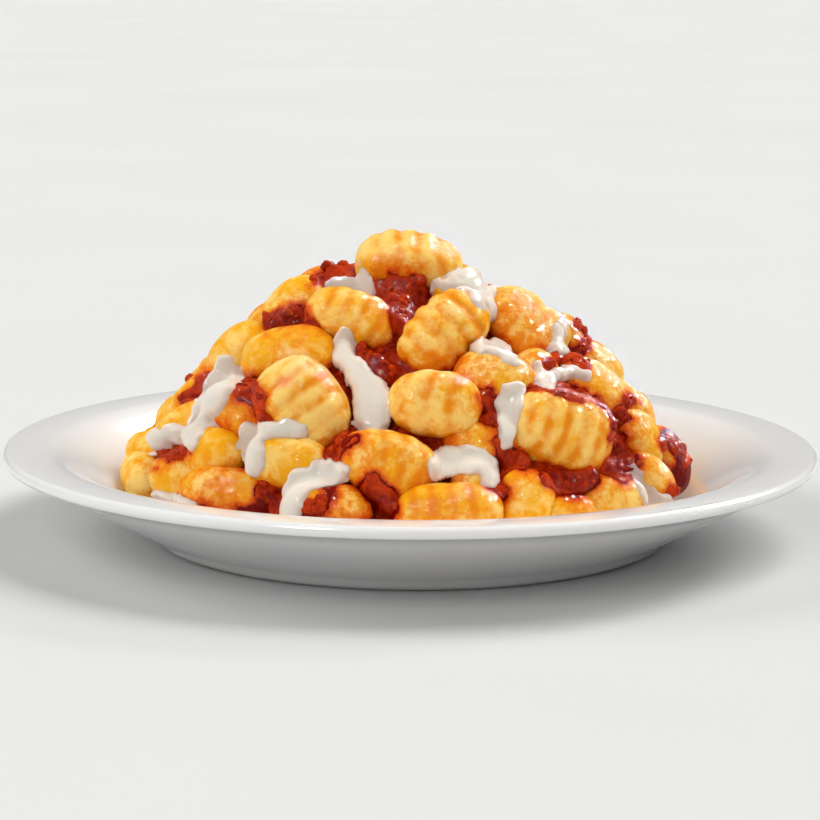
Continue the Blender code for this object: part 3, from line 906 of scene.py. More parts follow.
class Heap:
    """The gnocchi and the maps of the heap, worked out once and shared by the pieces.

    The maps of distance from the heart: bed, under the gnocchi; skin, over the gnocchi;
    mean, the blurred skin; sauce, with its patches and pulp; and ground, which carries the
    cream. ribbons is the distance inside a ribbon's edge, and wet the share of sauce that
    shows close by.
    """

    def __init__(self, gnocchi, sauce):
        self.gnocchi = front_gnocchi(gnocchi.thickness) + back_gnocchi(gnocchi.thickness)
        self.u, self.v = chart_grid()
        self.directions = chart_directions(self.u, self.v)
        self.bed = bed_reach(self.directions)
        self.skin = self.bed.copy()
        for gnocco in self.gnocchi:
            gap = gnocco.centre - HEART
            spread = 1.3 * gnocco.half.max() / np.linalg.norm(gap)
            near = self.directions @ unit(gap) > math.cos(min(spread, 1.4))
            reach = gnocco_reach(gnocco, self.directions[near], gnocchi)
            self.skin[near] = np.maximum(self.skin[near], reach)
        self.relief = pulp_relief(self.u, self.v, sauce.pulp)
        self.mean = blur(self.skin, sauce.smoothing / CHART_CELL)
        self.sauce = self.sauce_level(sauce)
        ground = np.maximum(self.skin, self.sauce)
        ground = np.maximum(ground, bridged(ground, CREAM_HOLLOW) - CREAM_DIP)
        self.ground = blur(ground, GROUND_BLUR / CHART_CELL)
        self.ribbons = self.measure(CREAM_RIBBONS, self.ground)
        shown = (self.sauce > self.skin - SHOWN_HEIGHT) & (self.ribbons < 0.0)
        self.wet = blur(shown.astype(float), WET_SPREAD / CHART_CELL)

    def distance(self, points, face, reach):
        """Distance of every map place from each stretch between points, and share along it.

        At the front it is measured as the eye sees it, but is nowhere under a share of the
        distance over the map. At the back it is the distance over the map.
        """
        u, v, _ = chart_place(points)
        flat = [(self.u, self.v, u, v)]
        if face > 0:
            place = HEART + self.directions * reach[..., None]
            flat.append((*seen_from_front(place), *seen_from_front(points)))
        for a in range(max(len(points) - 1, 1)):
            b = min(a + 1, len(points) - 1)
            found = []
            for x, y, px, py in flat:
                run = np.array([px[b] - px[a], py[b] - py[a]])
                share = ((x - px[a]) * run[0] + (y - py[a]) * run[1]) / max(run @ run, 1e-9)
                share = np.clip(share, 0.0, 1.0)
                far = np.hypot(x - px[a] - share * run[0], y - py[a] - share * run[1])
                found.append((far, share))
            if face > 0:
                yield np.maximum(SIGHT_SHARE * found[0][0], found[1][0]), found[1][1]
            else:
                yield found[0]

    def measure(self, tracks, ground):
        """Distance inside the nearest track's edge, in millimetres, and below 0 outside.

        For each stretch of a track: its half width, blended along it, less the distance.
        """
        best = np.full_like(self.u, -99.0)
        for face, rows in tracks:
            across, height, half = np.array(rows, dtype=float).T
            points = on_heap(across, height, face)
            for a, (far, share) in enumerate(self.distance(points, face, ground)):
                wide = half[a] + share * (half[min(a + 1, len(half) - 1)] - half[a])
                best = np.maximum(best, wide - far)
        place = HEART + self.directions * ground[..., None]
        return best + (rough_noise(place, *TRACK_EDGES) - 0.5) * EDGE_STRAY

    def sauce_level(self, sauce):
        """The pools stand a drop below the blurred skin, and not deep under the bed.

        Patches coat the gnocchi: their thickness rises from the edge as a quarter circle,
        and outside them the coat dives under the skin.
        """
        place = HEART + self.directions * self.mean[..., None]
        pool = (rough_noise(place, *POOL_SWELL, octaves=2) - 0.5) * POOL_STRAY
        level = np.maximum(self.mean - sauce.drop, self.bed - POOL_DEPTH) + pool
        ground = np.maximum(level, bridged(self.skin, PATCH_HOLLOW) - PATCH_DIP)
        ground = blur(np.maximum(ground, self.skin), GROUND_BLUR / CHART_CELL)
        inside = self.measure(SAUCE_PATCHES, ground)
        coat = ground + sauce.coat * quarter_circle(inside / PATCH_EDGE)
        coat = coat - PATCH_DIVE * np.clip(-inside, 0.0, DIVE_LIMIT)
        return np.maximum(level, coat) + self.relief


def pulp_relief(u, v, height):
    """Pulp as one uneven skin: at each place the highest of many small domes.

    A dome stands over a random ellipse, as the square root of one less the square of the
    distance from its middle over its half width.
    """
    draw = np.random.default_rng(SEED + 3)
    relief = np.zeros_like(u)
    limit = CHART_SCALE * PULP_REACH
    for size, count in PULP_DOMES:
        middle = draw.uniform(-limit, limit, (count, 2))
        turn = draw.uniform(0.0, math.pi, count)
        long = size * draw.uniform(*PULP_LENGTHS, count)
        wide = size * draw.uniform(*PULP_WIDTHS, count)
        top = wide * height * draw.uniform(*PULP_TOPS, count)
        for k in range(count):
            low = ((middle[k] - long[k] + CHART_EDGE) / CHART_CELL).astype(int)
            high = ((middle[k] + long[k] + CHART_EDGE) / CHART_CELL).astype(int) + 2
            low, high = np.clip(low, 0, len(u)), np.clip(high, 0, len(u))
            part = (slice(low[1], high[1]), slice(low[0], high[0]))
            x, y = u[part] - middle[k, 0], v[part] - middle[k, 1]
            c, s = math.cos(turn[k]), math.sin(turn[k])
            square = ((x * c + y * s) / long[k]) ** 2 + ((y * c - x * s) / wide[k]) ** 2
            dome = top[k] * np.sqrt(np.maximum(1.0 - square, 0.0))
            relief[part] = np.maximum(relief[part], dome)
    return blur(relief, 1.0) - PULP_MEAN


HEAP_CACHE = {}


def the_heap():
    """The one heap, laid out when it is first asked for."""
    scene = bpy.context.scene
    if "heap" not in HEAP_CACHE:
        HEAP_CACHE["heap"] = Heap(scene.gnocchi_dough, scene.gnocchi_sauce)
    return HEAP_CACHE["heap"]


# ---------------------------------------------------------------------------------------
# Materials


class Nodes:
    """Short hand for building a node tree from left to right."""

    def __init__(self, tree):
        self.tree = tree

    def add(self, kind, inputs=None, **settings):
        """A node with its settings, and its inputs linked to sockets or set to values."""
        node = self.tree.nodes.new(kind)
        for key, value in settings.items():
            setattr(node, key, value)
        for key, value in (inputs or {}).items():
            if isinstance(value, bpy.types.NodeSocket):
                self.tree.links.new(value, node.inputs[key])
            else:
                node.inputs[key].default_value = value
        return node

    def math(self, operation, first, second=0.0, clamp=False):
        """One operation on two values, kept from 0 to 1 if clamped."""
        node = self.add("ShaderNodeMath", {0: first, 1: second}, operation=operation)
        node.use_clamp = clamp
        return node.outputs[0]

    def mix(self, factor, first, second):
        """The first colour, turned into the second by a factor."""
        node = self.add("ShaderNodeMix", data_type="RGBA", blend_type="MIX")
        for key, value in (("Factor_Float", factor), ("A_Color", first), ("B_Color", second)):
            socket = next(item for item in node.inputs if item.identifier == key)
            if isinstance(value, bpy.types.NodeSocket):
                self.tree.links.new(value, socket)
            else:
                socket.default_value = value
        return next(item for item in node.outputs if item.identifier == "Result_Color")

    def ramp(self, value, low, high):
        """0 below low, 1 above high, smooth between."""
        node = self.add(
            "ShaderNodeMapRange", {"Value": value, "From Min": low, "From Max": high},
            interpolation_type="SMOOTHSTEP",
        )
        return node.outputs["Result"]

    def read(self, name):
        """A value that the mesh carries at its points."""
        return self.add("ShaderNodeAttribute", attribute_name=name).outputs["Fac"]

    def plus(self, value, mask, amount, clamp=False):
        """A value and an amount of a mask."""
        return self.math("ADD", value, self.math("MULTIPLY", mask, amount), clamp)

    def uneven(self, value, masks):
        """A value raised where masks are over a half and lowered where they are under it."""
        for mask, amount in masks:
            value = self.plus(value, self.math("SUBTRACT", mask, 0.5), amount)
        return value

    def join(self, value, socket):
        """Link a value to a socket."""
        self.tree.links.new(value, socket)


def rgba(colour):
    """A colour with full cover, as colour sockets hold it."""
    return (*colour, 1.0)


def new_group(name, inputs, outputs):
    """An empty shader node group with float inputs and named outputs of given types."""
    group = bpy.data.node_groups.new(name, "ShaderNodeTree")
    for key, value in inputs:
        socket = group.interface.new_socket(key, in_out="INPUT", socket_type="NodeSocketFloat")
        socket.default_value = value
    for key, kind in outputs:
        group.interface.new_socket(key, in_out="OUTPUT", socket_type=kind)
    nodes = Nodes(group)
    return group, nodes, nodes.add("NodeGroupInput"), nodes.add("NodeGroupOutput")


def mottle_group():
    """Cloudy mask with a contrast, from a noise in object space."""
    name = "Mottle"
    if name in bpy.data.node_groups:
        return bpy.data.node_groups[name]
    group, nodes, given, result = new_group(
        name, [("Scale", 100.0), ("Detail", 4.0), ("Low", 0.35), ("High", 0.65)],
        [("Mask", "NodeSocketFloat")],
    )
    place = nodes.add("ShaderNodeTexCoord").outputs["Object"]
    cloud = nodes.add(
        "ShaderNodeTexNoise",
        {"Vector": place, "Scale": given.outputs["Scale"], "Detail": given.outputs["Detail"]},
    )
    mask = nodes.ramp(cloud.outputs["Fac"], given.outputs["Low"], given.outputs["High"])
    group.links.new(mask, result.inputs["Mask"])
    return group


def moist_group():
    """Fine wet relief: two noises, one of grain and one of pores, as a normal."""
    name = "Moist skin"
    if name in bpy.data.node_groups:
        return bpy.data.node_groups[name]
    group, nodes, given, result = new_group(
        name, [
            ("Grain Scale", 900.0), ("Grain", 0.3), ("Wave Scale", 250.0), ("Wave", 0.4),
            ("Wave Detail", 3.0),
        ],
        [("Normal", "NodeSocketVector")],
    )
    place = nodes.add("ShaderNodeTexCoord").outputs["Object"]
    grain = nodes.add(
        "ShaderNodeTexNoise",
        {"Vector": place, "Scale": given.outputs["Grain Scale"], "Detail": 5.0},
    )
    wave = nodes.add(
        "ShaderNodeTexNoise",
        {
            "Vector": place, "Scale": given.outputs["Wave Scale"],
            "Detail": given.outputs["Wave Detail"],
        },
    )
    height = nodes.math(
        "ADD",
        nodes.math("MULTIPLY", grain.outputs["Fac"], given.outputs["Grain"]),
        nodes.math("MULTIPLY", wave.outputs["Fac"], given.outputs["Wave"]),
    )
    bump = nodes.add("ShaderNodeBump", {"Height": height, "Strength": 1.0, "Distance": 0.001})
    group.links.new(bump.outputs["Normal"], result.inputs["Normal"])
    return group


def place_group(nodes, group, values):
    """A node of a group, with its own value on each of the group's inputs in order."""
    node = nodes.add("ShaderNodeGroup", node_tree=group)
    for socket, value in zip(node.inputs, values):
        socket.default_value = value
    return node.outputs[0]


def mottle(nodes, scale, detail, low, high):
    """Cloudy mask over the piece."""
    return place_group(nodes, mottle_group(), (scale, detail, low, high))


def moist(nodes, grain_scale, grain, wave_scale, wave, wave_detail=3.0):
    """Normal of a wet skin."""
    return place_group(nodes, moist_group(), (grain_scale, grain, wave_scale, wave, wave_detail))


def new_material(name, constants):
    """A material with one Principled shader whose constants sit on its own sockets."""
    material = bpy.data.materials.new(name)
    material.use_nodes = True
    nodes = Nodes(material.node_tree)
    shader = material.node_tree.nodes["Principled BSDF"]
    for key, value in constants.items():
        shader.inputs[key].default_value = value
    return material, nodes, shader


def dough_material(settings, sauce):
    """Boiled potato dough: pale ridges, amber grooves and deeper gold low in the crevices, both
    partly oil and partly painted shade, and red stains towards the sauce.
    """
    material, nodes, shader = new_material("potato_dough", {
        "Metallic": 0.0, "IOR": 1.40, "Subsurface Weight": 0.30, "Subsurface Scale": 0.003,
        "Subsurface Radius": (1.0, 0.5, 0.1), "Specular IOR Level": 0.0,
        "Coat Weight": 0.36, "Coat Roughness": 0.05,
    })
    broad = mottle(nodes, 110.0, 3.0, 0.3, 0.7)
    middle = mottle(nodes, 300.0, 4.0, 0.3, 0.7)
    fine = mottle(nodes, 900.0, 4.0, 0.35, 0.65)
    grain = mottle(nodes, 2600.0, 3.0, 0.35, 0.65)
    # The tone attribute holds the gnocco's own tone and painted shade low in the crevices.
    tone = nodes.uneven(
        nodes.read("tone"), ((broad, 1.0), (middle, 0.70), (fine, 0.20), (grain, 0.10)))
    colour = nodes.mix(
        nodes.ramp(tone, -0.15, 1.15), rgba(settings.pale), rgba(settings.golden))
    # The grooves are painted a deeper gold in patches: partly oil, partly painted shade of the
    # grooves.
    oil_and_shade_patches = nodes.plus(nodes.math("MULTIPLY", broad, 1.1), middle, 0.5)
    groove = nodes.math("MULTIPLY", nodes.read("groove"), oil_and_shade_patches, clamp=True)
    colour = nodes.mix(groove, colour, rgba(GROOVE_OIL_AND_SHADE))
    stain = nodes.uneven(nodes.read("stain"), ((middle, 0.38), (fine, 0.17), (grain, 0.12)))
    orange = nodes.math("MULTIPLY", nodes.ramp(stain, 0.05, 0.60), 0.88)
    colour = nodes.mix(orange, colour, rgba(OILY_ORANGE))
    colour = nodes.mix(nodes.ramp(stain, 0.50, 0.95), colour, rgba(STAINED_RED))
    colour = nodes.mix(nodes.ramp(stain, 0.95, 1.40), colour, rgba(sauce.deep))
    nodes.join(colour, shader.inputs["Base Color"])
    nodes.join(nodes.plus(0.42, fine, 0.2), shader.inputs["Roughness"])
    nodes.join(moist(nodes, 1300.0, 0.18, 420.0, 0.40), shader.inputs["Normal"])
    nodes.join(moist(nodes, 300.0, 0.20, 600.0, 0.90, 1.0), shader.inputs["Coat Normal"])
    return material


def tomato_material(settings):
    """Wet tomato pulp: deep red with brighter thin places, and the pulp's crests painted
    brighter over deeper hollows as painted light and shade.
    """
    material, nodes, shader = new_material("tomato_sauce", {
        "Metallic": 0.0, "IOR": 1.38, "Subsurface Weight": 0.15, "Subsurface Scale": 0.002,
        "Subsurface Radius": (1.0, 0.2, 0.05), "Specular IOR Level": 0.0,
        "Coat Weight": 0.36, "Coat Roughness": 0.05,
    })
    broad = mottle(nodes, 120.0, 3.0, 0.35, 0.7)
    fine = mottle(nodes, 600.0, 5.0, 0.35, 0.7)
    share = nodes.plus(nodes.math("MULTIPLY", broad, 0.28), fine, 0.25)
    # The thin attribute also carries painted light on the pulp's crests.
    share = nodes.math("ADD", share, nodes.read("thin"), clamp=True)
    colour = nodes.mix(share, rgba(settings.deep), rgba(settings.bright))
    nodes.join(colour, shader.inputs["Base Color"])
    nodes.join(nodes.plus(0.45, fine, 0.2), shader.inputs["Roughness"])
    nodes.join(moist(nodes, 1500.0, 0.20, 560.0, 0.70), shader.inputs["Normal"])
    nodes.join(moist(nodes, 300.0, 0.30, 600.0, 1.0, 1.0), shader.inputs["Coat Normal"])
    return material


def cream_material(settings, sauce):
    """Thick cream: off-white, smooth and wet, with a faint blush where it thins."""
    material, nodes, shader = new_material("cream_sauce", {
        "Metallic": 0.0, "IOR": 1.40, "Subsurface Weight": 0.6, "Subsurface Scale": 0.005,
        "Subsurface Radius": (1.0, 0.8, 0.6), "Specular IOR Level": 0.0,
        "Coat Roughness": 0.06, "Coat Weight": 0.45,
    })
    broad = mottle(nodes, 140.0, 3.0, 0.45, 0.8)
    fine = mottle(nodes, 500.0, 3.0, 0.3, 0.7)
    edge = nodes.plus(nodes.math("MULTIPLY", nodes.read("thin"), 0.38), broad, 0.08)
    blush = tuple(0.62 * a + 0.38 * b for a, b in zip(settings.colour, sauce.bright))
    colour = nodes.mix(edge, rgba(settings.colour), rgba(blush))
    nodes.join(colour, shader.inputs["Base Color"])
    nodes.join(nodes.plus(0.40, fine, 0.15), shader.inputs["Roughness"])
    relief = moist(nodes, 700.0, 0.05, 160.0, 0.35)
    nodes.join(relief, shader.inputs["Normal"])
    nodes.join(relief, shader.inputs["Coat Normal"])
    return material


def porcelain_material(settings):
    """Glazed porcelain, with the bare ring of the foot a little darker and rougher."""
    material, nodes, shader = new_material("glazed_porcelain", {
        "Metallic": 0.0, "IOR": 1.5, "Coat Weight": 0.4, "Coat Roughness": 0.04,
    })
    broad = mottle(nodes, 22.0, 3.0, 0.3, 0.7)
    fine = mottle(nodes, 900.0, 3.0, 0.60, 0.72)
    bare = nodes.read("bare")
    warm = rgba((settings.colour[0], settings.colour[1] * 0.99, settings.colour[2] * 0.97))
    colour = nodes.mix(broad, rgba(settings.colour), warm)
    colour = nodes.mix(bare, colour, rgba(BARE_CLAY))
    nodes.join(colour, shader.inputs["Base Color"])
    rough = nodes.plus(nodes.plus(0.14, bare, 0.5), fine, 0.03)
    nodes.join(rough, shader.inputs["Roughness"])
    nodes.join(moist(nodes, 700.0, 0.01, 40.0, 0.06), shader.inputs["Normal"])
    return material


def floor_material(settings):
    """Plain pale table with the faintest unevenness."""
    material, nodes, shader = new_material("pale_floor", {
        "Metallic": 0.0, "Roughness": 0.8, "Specular IOR Level": 0.0,
    })
    cloud = mottle(nodes, 3.0, 3.0, 0.2, 0.8)
    dim = tuple(0.96 * value for value in settings.floor)
    colour = nodes.mix(cloud, rgba(settings.floor), rgba(dim))
    nodes.join(colour, shader.inputs["Base Color"])
    return material


# ---------------------------------------------------------------------------------------
# Pieces


def plate_section():
    """The plate's half section as (radius, height) points, top middle to bottom middle."""
    well = np.linspace(FLOOR_RADIUS, SHOULDER_RADIUS, WELL_STEPS)
    top = [(radius, FLOOR_HEIGHT) for radius in FLAT_RADII]
    top += [(radius, float(plate_top(radius))) for radius in well]
    middle = (PLATE_RADIUS - LIP_RADIUS, RIM_HEIGHT - LIP_RADIUS)
    lip = [
        (middle[0] + LIP_RADIUS * math.cos(a), middle[1] + LIP_RADIUS * math.sin(a))
        for a in np.radians(np.linspace(*LIP_ANGLES, LIP_STEPS))
    ]
    return np.array(top + lip + UNDERSIDE)


def turned_plate(section, segments):
    """Every section point carried round Z: (r cos a, r sin a, h) over the two parameters."""
    turn = np.linspace(0.0, 2.0 * math.pi, segments, endpoint=False)
    rings = section[1:-1]
    radius, turn = np.meshgrid(rings[:, 0], turn, indexing="ij")
    height = np.repeat(rings[:, 1:], segments, axis=1)
    grid = np.stack([radius * np.cos(turn), radius * np.sin(turn), height], -1).reshape(-1, 3)
    ends = np.array([[0.0, 0.0, section[0, 1]], [0.0, 0.0, section[-1, 1]]])
    points = np.concatenate([ends[:1], grid, ends[1:]])
    return points, ball_faces(len(rings), segments)


def gnocchi_kind(heap, kind, settings):
    """All gnocchi of one kind as joined arrays: points, faces and attributes."""
    parts, quads, tris, grooves, tones_and_crevice_shade, stains = [], [], [], [], [], []
    count = 0
    for gnocco in heap.gnocchi:
        if gnocco.kind() != kind:
            continue
        rings, around = FRONT_GRID if gnocco.front else BACK_GRID
        points, groove = gnocco_grid(gnocco, rings, around, settings)
        four, three = ball_faces(rings, around)
        quads.append(four + count)
        tris.append(three + count)
        count += len(points)
        parts.append(points)
        grooves.append(groove)
        # The tone also carries painted shade: deeper gold low in the crevices.
        tones_and_crevice_shade.append(gold_and_crevice_shade(heap, gnocco, points))
        stains.append(stain_share(heap, gnocco, points))
    attributes = {
        "groove": np.concatenate(grooves),
        "tone": np.concatenate(tones_and_crevice_shade),
        "stain": np.concatenate(stains),
    }
    return np.concatenate(parts), np.concatenate(quads), np.concatenate(tris), attributes


def stain_share(heap, gnocco, points):
    """How red a place is.

    High near the sauce's level, beside sauce that shows, and low on the heap, and for a
    soaked gnocco all over.
    """
    u, v, reach = chart_place(points)
    above = reach - chart_read(heap.sauce, u, v)
    patch = noise(points, *STAIN_PATCHES)
    touch = 1.0 - smooth_step(0.0, STAIN_HEIGHT * (0.5 + 0.8 * patch), above)
    deep = chart_read(heap.mean, u, v) - MEAN_DEPTH
    over = reach - np.maximum(chart_read(heap.sauce, u, v), deep)
    glow = 1.0 - smooth_step(-1.0, GLOW_HEIGHT * (0.5 + patch), over)
    beside = np.clip(chart_read(heap.wet, u, v) * (0.5 + 1.2 * patch), 0.0, 1.0)
    low = 1.0 - smooth_step(*LOW_HEIGHTS, points[:, 2])
    soaked = SOAKED_SHARE * (gnocco.stain - SOAKED_FROM)
    soaked = soaked + PATCHY_SHARE * (patch - 0.5) * gnocco.stain
    soaked = soaked + LOW_SHARE * max(gnocco.stain - LOW_FROM, 0.0) * low
    glow = (GLOW_SHARES[0] + GLOW_SHARES[1] * gnocco.stain) * glow
    return TOUCH_SHARE * touch + glow + BESIDE_SHARE * beside + soaked


def gold_and_crevice_shade(heap, gnocco, points):
    """Tone of a place: the gnocco's own, and more golden the deeper it lies towards the sauce,
    which is partly oil and partly painted shade of the crevices.
    """
    u, v, reach = chart_place(points)
    above = reach - chart_read(heap.sauce, u, v)
    return gnocco.tone + CREVICE_GOLD_AND_SHADE_SHARE * (1.0 - smooth_step(0.0, CREVICE_GOLD_AND_SHADE_HEIGHT, above))


def cube_ball(cells, low_rows):
    """Directions of a closed ball made of a square cap, a band of four sides and a pole.

    A cap place (a, b), each from -45 to 45 degrees, has the direction (tan a, tan b, 1).
    The band carries the cap's border down: (tan a, 1, tan b) turned to each of four sides.
    Returns the directions without the low pole, and the faces with it.
    """
    line = np.tan(np.linspace(-math.pi / 4, math.pi / 4, cells + 1))
    x, y = np.meshgrid(line, line)
    cap = np.stack([x, y, np.ones_like(x)], -1).reshape(-1, 3)
    index = np.arange((cells + 1) ** 2).reshape(cells + 1, cells + 1)
    quads = [np.stack([
        index[:-1, :-1], index[:-1, 1:], index[1:, 1:], index[1:, :-1],
    ], -1).reshape(-1, 4)]
    border = np.concatenate([index[0, :-1], index[:-1, -1], index[-1, :0:-1], index[:0:-1, 0]])
    rows = np.tan(np.concatenate([
        np.arange(math.pi / 4, math.radians(SAUCE_EVEN_ANGLE), -math.pi / 2 / cells)[1:],
        np.radians(low_rows),
    ]))
    flat = cap[border]
    band = np.repeat(flat[None], len(rows), axis=0)
    band[..., 2] = rows[:, None]
    count = len(border)
    rings = np.concatenate([
        border[None], len(cap) + np.arange(len(rows) * count).reshape(len(rows), count),
    ])
    after = np.roll(rings, -1, axis=1)
    quads.append(np.stack([rings[:-1], rings[1:], after[1:], after[:-1]], -1).reshape(-1, 4))
    pole = len(cap) + len(rows) * count
    tris = np.stack([rings[-1], np.full(count, pole), after[-1]], -1)
    return unit(np.concatenate([cap, band.reshape(-1, 3)])), np.concatenate(quads), tris


def sauce_body(heap):
    """The sauce from its top down to the plate, and in under the heap.

    Along each direction of a ball round the heart, the distance is read from the sauce's
    map, and nowhere passes the plate.
    """
    directions, quads, tris = cube_ball(SAUCE_CELLS, SAUCE_LOW_ANGLES)
    u, v, _ = chart_place(HEART + directions)
    reach = np.minimum(chart_read(heap.sauce, u, v), plate_reach(directions, PLATE_GAP))
    grid = HEART + directions * reach[:, None]
    low = np.array([[0.0, 0.0, FLOOR_HEIGHT + PLATE_GAP]])
    over = reach - chart_read(heap.skin, u, v)
    coat = smooth_step(*COAT_HEIGHTS, chart_read(heap.skin - heap.bed, u, v))
    coat *= 1.0 - smooth_step(*COAT_GAPS, np.abs(over))
    # The pulp's crests are painted brighter and its hollows deeper red: painted light and shade.
    crest_light = smooth_step(*CREST_LIGHT_HEIGHTS, chart_read(heap.relief, u, v))
    thin = COAT_THIN * coat + CREST_LIGHT_SHARE * crest_light - POOL_THICK
    return np.concatenate([grid, low]), quads, tris, np.append(thin, 0.0)


def pulp_chunks(heap, settings):
    """Loose pulp: small uneven lumps, half sunk where the sauce shows.

    Each is a sphere grid stretched along three axes, lifted by noise and turned at random.
    """
    draw = np.random.default_rng(SEED)
    above = heap.skin - heap.sauce
    angle = np.hypot(heap.u, heap.v) / CHART_SCALE
    patch = noise(HEART + heap.directions * heap.skin[..., None], *CHUNK_PATCHES)
    weight = ((above < -0.5) & (heap.ribbons < -1.5)) * (0.2 + patch)
    weight = weight * np.sinc(angle / math.pi) * (angle < 1.6)
    weight = (weight / weight.sum()).ravel()
    pick = draw.choice(weight.size, settings.chunks, replace=False, p=weight)
    out = heap.directions.reshape(-1, 3)[pick]
    size = CHUNK_SIZE + CHUNK_GROWTH * draw.random((len(pick), 1)) ** CHUNK_RARITY
    ground = heap.sauce.ravel()[pick, None]
    centre = HEART + out * (ground + size * draw.uniform(*CHUNK_SINKS, size.shape))
    rings, around = CHUNK_GRID
    t = np.linspace(0.0, math.pi, rings + 2)[1:-1]
    turn = np.linspace(0.0, 2.0 * math.pi, around, endpoint=False)
    t, turn = np.meshgrid(t, turn, indexing="ij")
    ball = np.stack([np.sin(t) * np.cos(turn), np.sin(t) * np.sin(turn), np.cos(t)], -1)
    ball = np.concatenate([[[0, 0, 1.0]], ball.reshape(-1, 3), [[0, 0, -1.0]]])
    axes = np.linalg.qr(draw.normal(size=(len(pick), 3, 3)))[0]
    stretch = draw.uniform(*CHUNK_STRETCHES, (len(pick), 1, 3)) * size[:, None]
    turned = np.einsum("nij,nkj->nki", axes, ball[None] * stretch)
    points = centre[:, None] + turned
    lump = rough_noise(points, *CHUNK_LUMPS, octaves=2)[..., None] - 0.5
    points = points + unit(turned) * lump * CHUNK_ROUGHNESS * size[:, None]
    flip = (np.linalg.det(axes) < 0)[:, None, None]
    quads, tris = ball_faces(rings, around)
    each = len(ball)
    start = (np.arange(len(pick)) * each)[:, None, None]
    quads = np.where(flip, quads[None, :, ::-1], quads[None]) + start
    tris = np.where(flip, tris[None, :, ::-1], tris[None]) + start
    thin = np.repeat(draw.uniform(*CHUNK_THINS, len(pick)), each)
    return points.reshape(-1, 3), quads.reshape(-1, 4), tris.reshape(-1, 3), thin


def cream_grid(heap, settings):
    """Ribbons of cream laid over the gnocchi and sauce.

    The ground is the higher of the skin and the sauce, with narrow hollows bridged. The
    cream adds a thickness that rises from a ribbon's edge as a quarter circle and swells
    and thins with soft noise, and outside the ribbon it dives under the ground.
    """
    ground, measure = heap.ground, heap.ribbons
    share = np.clip(measure / settings.edge, 0.0, 1.0)
    swell = 0.7 + 0.6 * noise(HEART + heap.directions * ground[..., None], *CREAM_SWELL)
    rise = quarter_circle(share) * swell
    ground = np.maximum(ground, heap.skin + CREAM_COVER)
    dive = np.clip(-measure, 0.0, 2.0) * CREAM_DIVE
    level = ground + settings.thickness * rise - dive - CREAM_DROP * (share <= 0.0)
    level = blur(level, CREAM_BLUR / CHART_CELL)
    level = np.minimum(level, plate_reach(heap.directions, CREAM_GAP))
    shown = measure > -CREAM_SKIRT
    points = HEART + heap.directions * level[..., None]
    rows, cols = heap.u.shape
    index = np.arange(rows * cols).reshape(rows, cols)
    whole = shown[:-1, :-1] & shown[1:, :-1] & shown[1:, 1:] & shown[:-1, 1:]
    quads = np.stack([
        index[:-1, :-1][whole], index[:-1, 1:][whole], index[1:, 1:][whole],
        index[1:, :-1][whole],
    ], -1)
    used, quads = np.unique(quads, return_inverse=True)
    thin = (1.0 - share).ravel()[used]
    return points.reshape(-1, 3)[used], quads.reshape(-1, 4), thin


# ---------------------------------------------------------------------------------------
# Operators


class MESH_OT_gnocchi_plate(bpy.types.Operator):
    """Add the white dinner plate, turned from its section"""

    bl_idname = "mesh.gnocchi_plate"
    bl_label = "Add Plate"
    bl_options = {"REGISTER", "UNDO"}

    def execute(self, context):
        settings = context.scene.gnocchi_plate
        points, (quads, tris) = turned_plate(plate_section(), settings.segments)
        radius = np.hypot(points[:, 0], points[:, 1])
        bare = (points[:, 2] < FOOT_HEIGHT) & (radius > FOOT_RADIUS)
        material = porcelain_material(settings)
        piece = make_piece(
            "dinner_plate", points, quads, tris, material, {"bare": bare.astype(float)})
        keep(piece, "porcelain", "plate")
        return {"FINISHED"}


class MESH_OT_gnocchi_dough(bpy.types.Operator):
    """Add the gnocchi: ridged ones, long smooth ones and short smooth ones"""

    bl_idname = "mesh.gnocchi_dough"
    bl_label = "Add Gnocchi"
    bl_options = {"REGISTER", "UNDO"}

    def execute(self, context):
        settings = context.scene.gnocchi_dough
        heap = the_heap()
        material = dough_material(settings, context.scene.gnocchi_sauce)
        for kind in ("ridged", "long", "short"):
            points, quads, tris, attributes = gnocchi_kind(heap, kind, settings)
            piece = make_piece(
                f"gnocchi_{kind}", points, quads, tris, material, attributes)
            keep(piece, "gnocchi", "gnocchi_heap")
        return {"FINISHED"}


class MESH_OT_gnocchi_tomato(bpy.types.Operator):
    """Add the tomato sauce between the gnocchi and the loose pulp on it"""

    bl_idname = "mesh.gnocchi_tomato"
    bl_label = "Add Tomato Sauce"
    bl_options = {"REGISTER", "UNDO"}

    def execute(self, context):
        settings = context.scene.gnocchi_sauce
        heap = the_heap()
        material = tomato_material(settings)
        points, quads, tris, thin = sauce_body(heap)
        sauce = make_piece("tomato_sauce", points, quads, tris, material, {"thin": thin})
        keep(sauce, "tomato_sauce", "gnocchi_heap")
        points, quads, tris, thin = pulp_chunks(heap, settings)
        pulp = make_piece("tomato_pulp", points, quads, tris, material, {"thin": thin})
        keep(pulp, "tomato_sauce", "gnocchi_heap")
        return {"FINISHED"}


class MESH_OT_gnocchi_cream(bpy.types.Operator):
    """Add the ribbons of cream"""

    bl_idname = "mesh.gnocchi_cream"
    bl_label = "Add Cream"
    bl_options = {"REGISTER", "UNDO"}

    def execute(self, context):
        settings = context.scene.gnocchi_cream
        points, quads, thin = cream_grid(the_heap(), settings)
        material = cream_material(settings, context.scene.gnocchi_sauce)
        none = np.zeros((0, 3), dtype=int)
        piece = make_piece("cream_ribbons", points, quads, none, material, {"thin": thin})
        wall = piece.modifiers.new("Body", "SOLIDIFY")
        wall.thickness = CREAM_BODY * MM
        wall.offset = -1.0
        keep(piece, "cream_sauce", "gnocchi_heap")
        return {"FINISHED"}


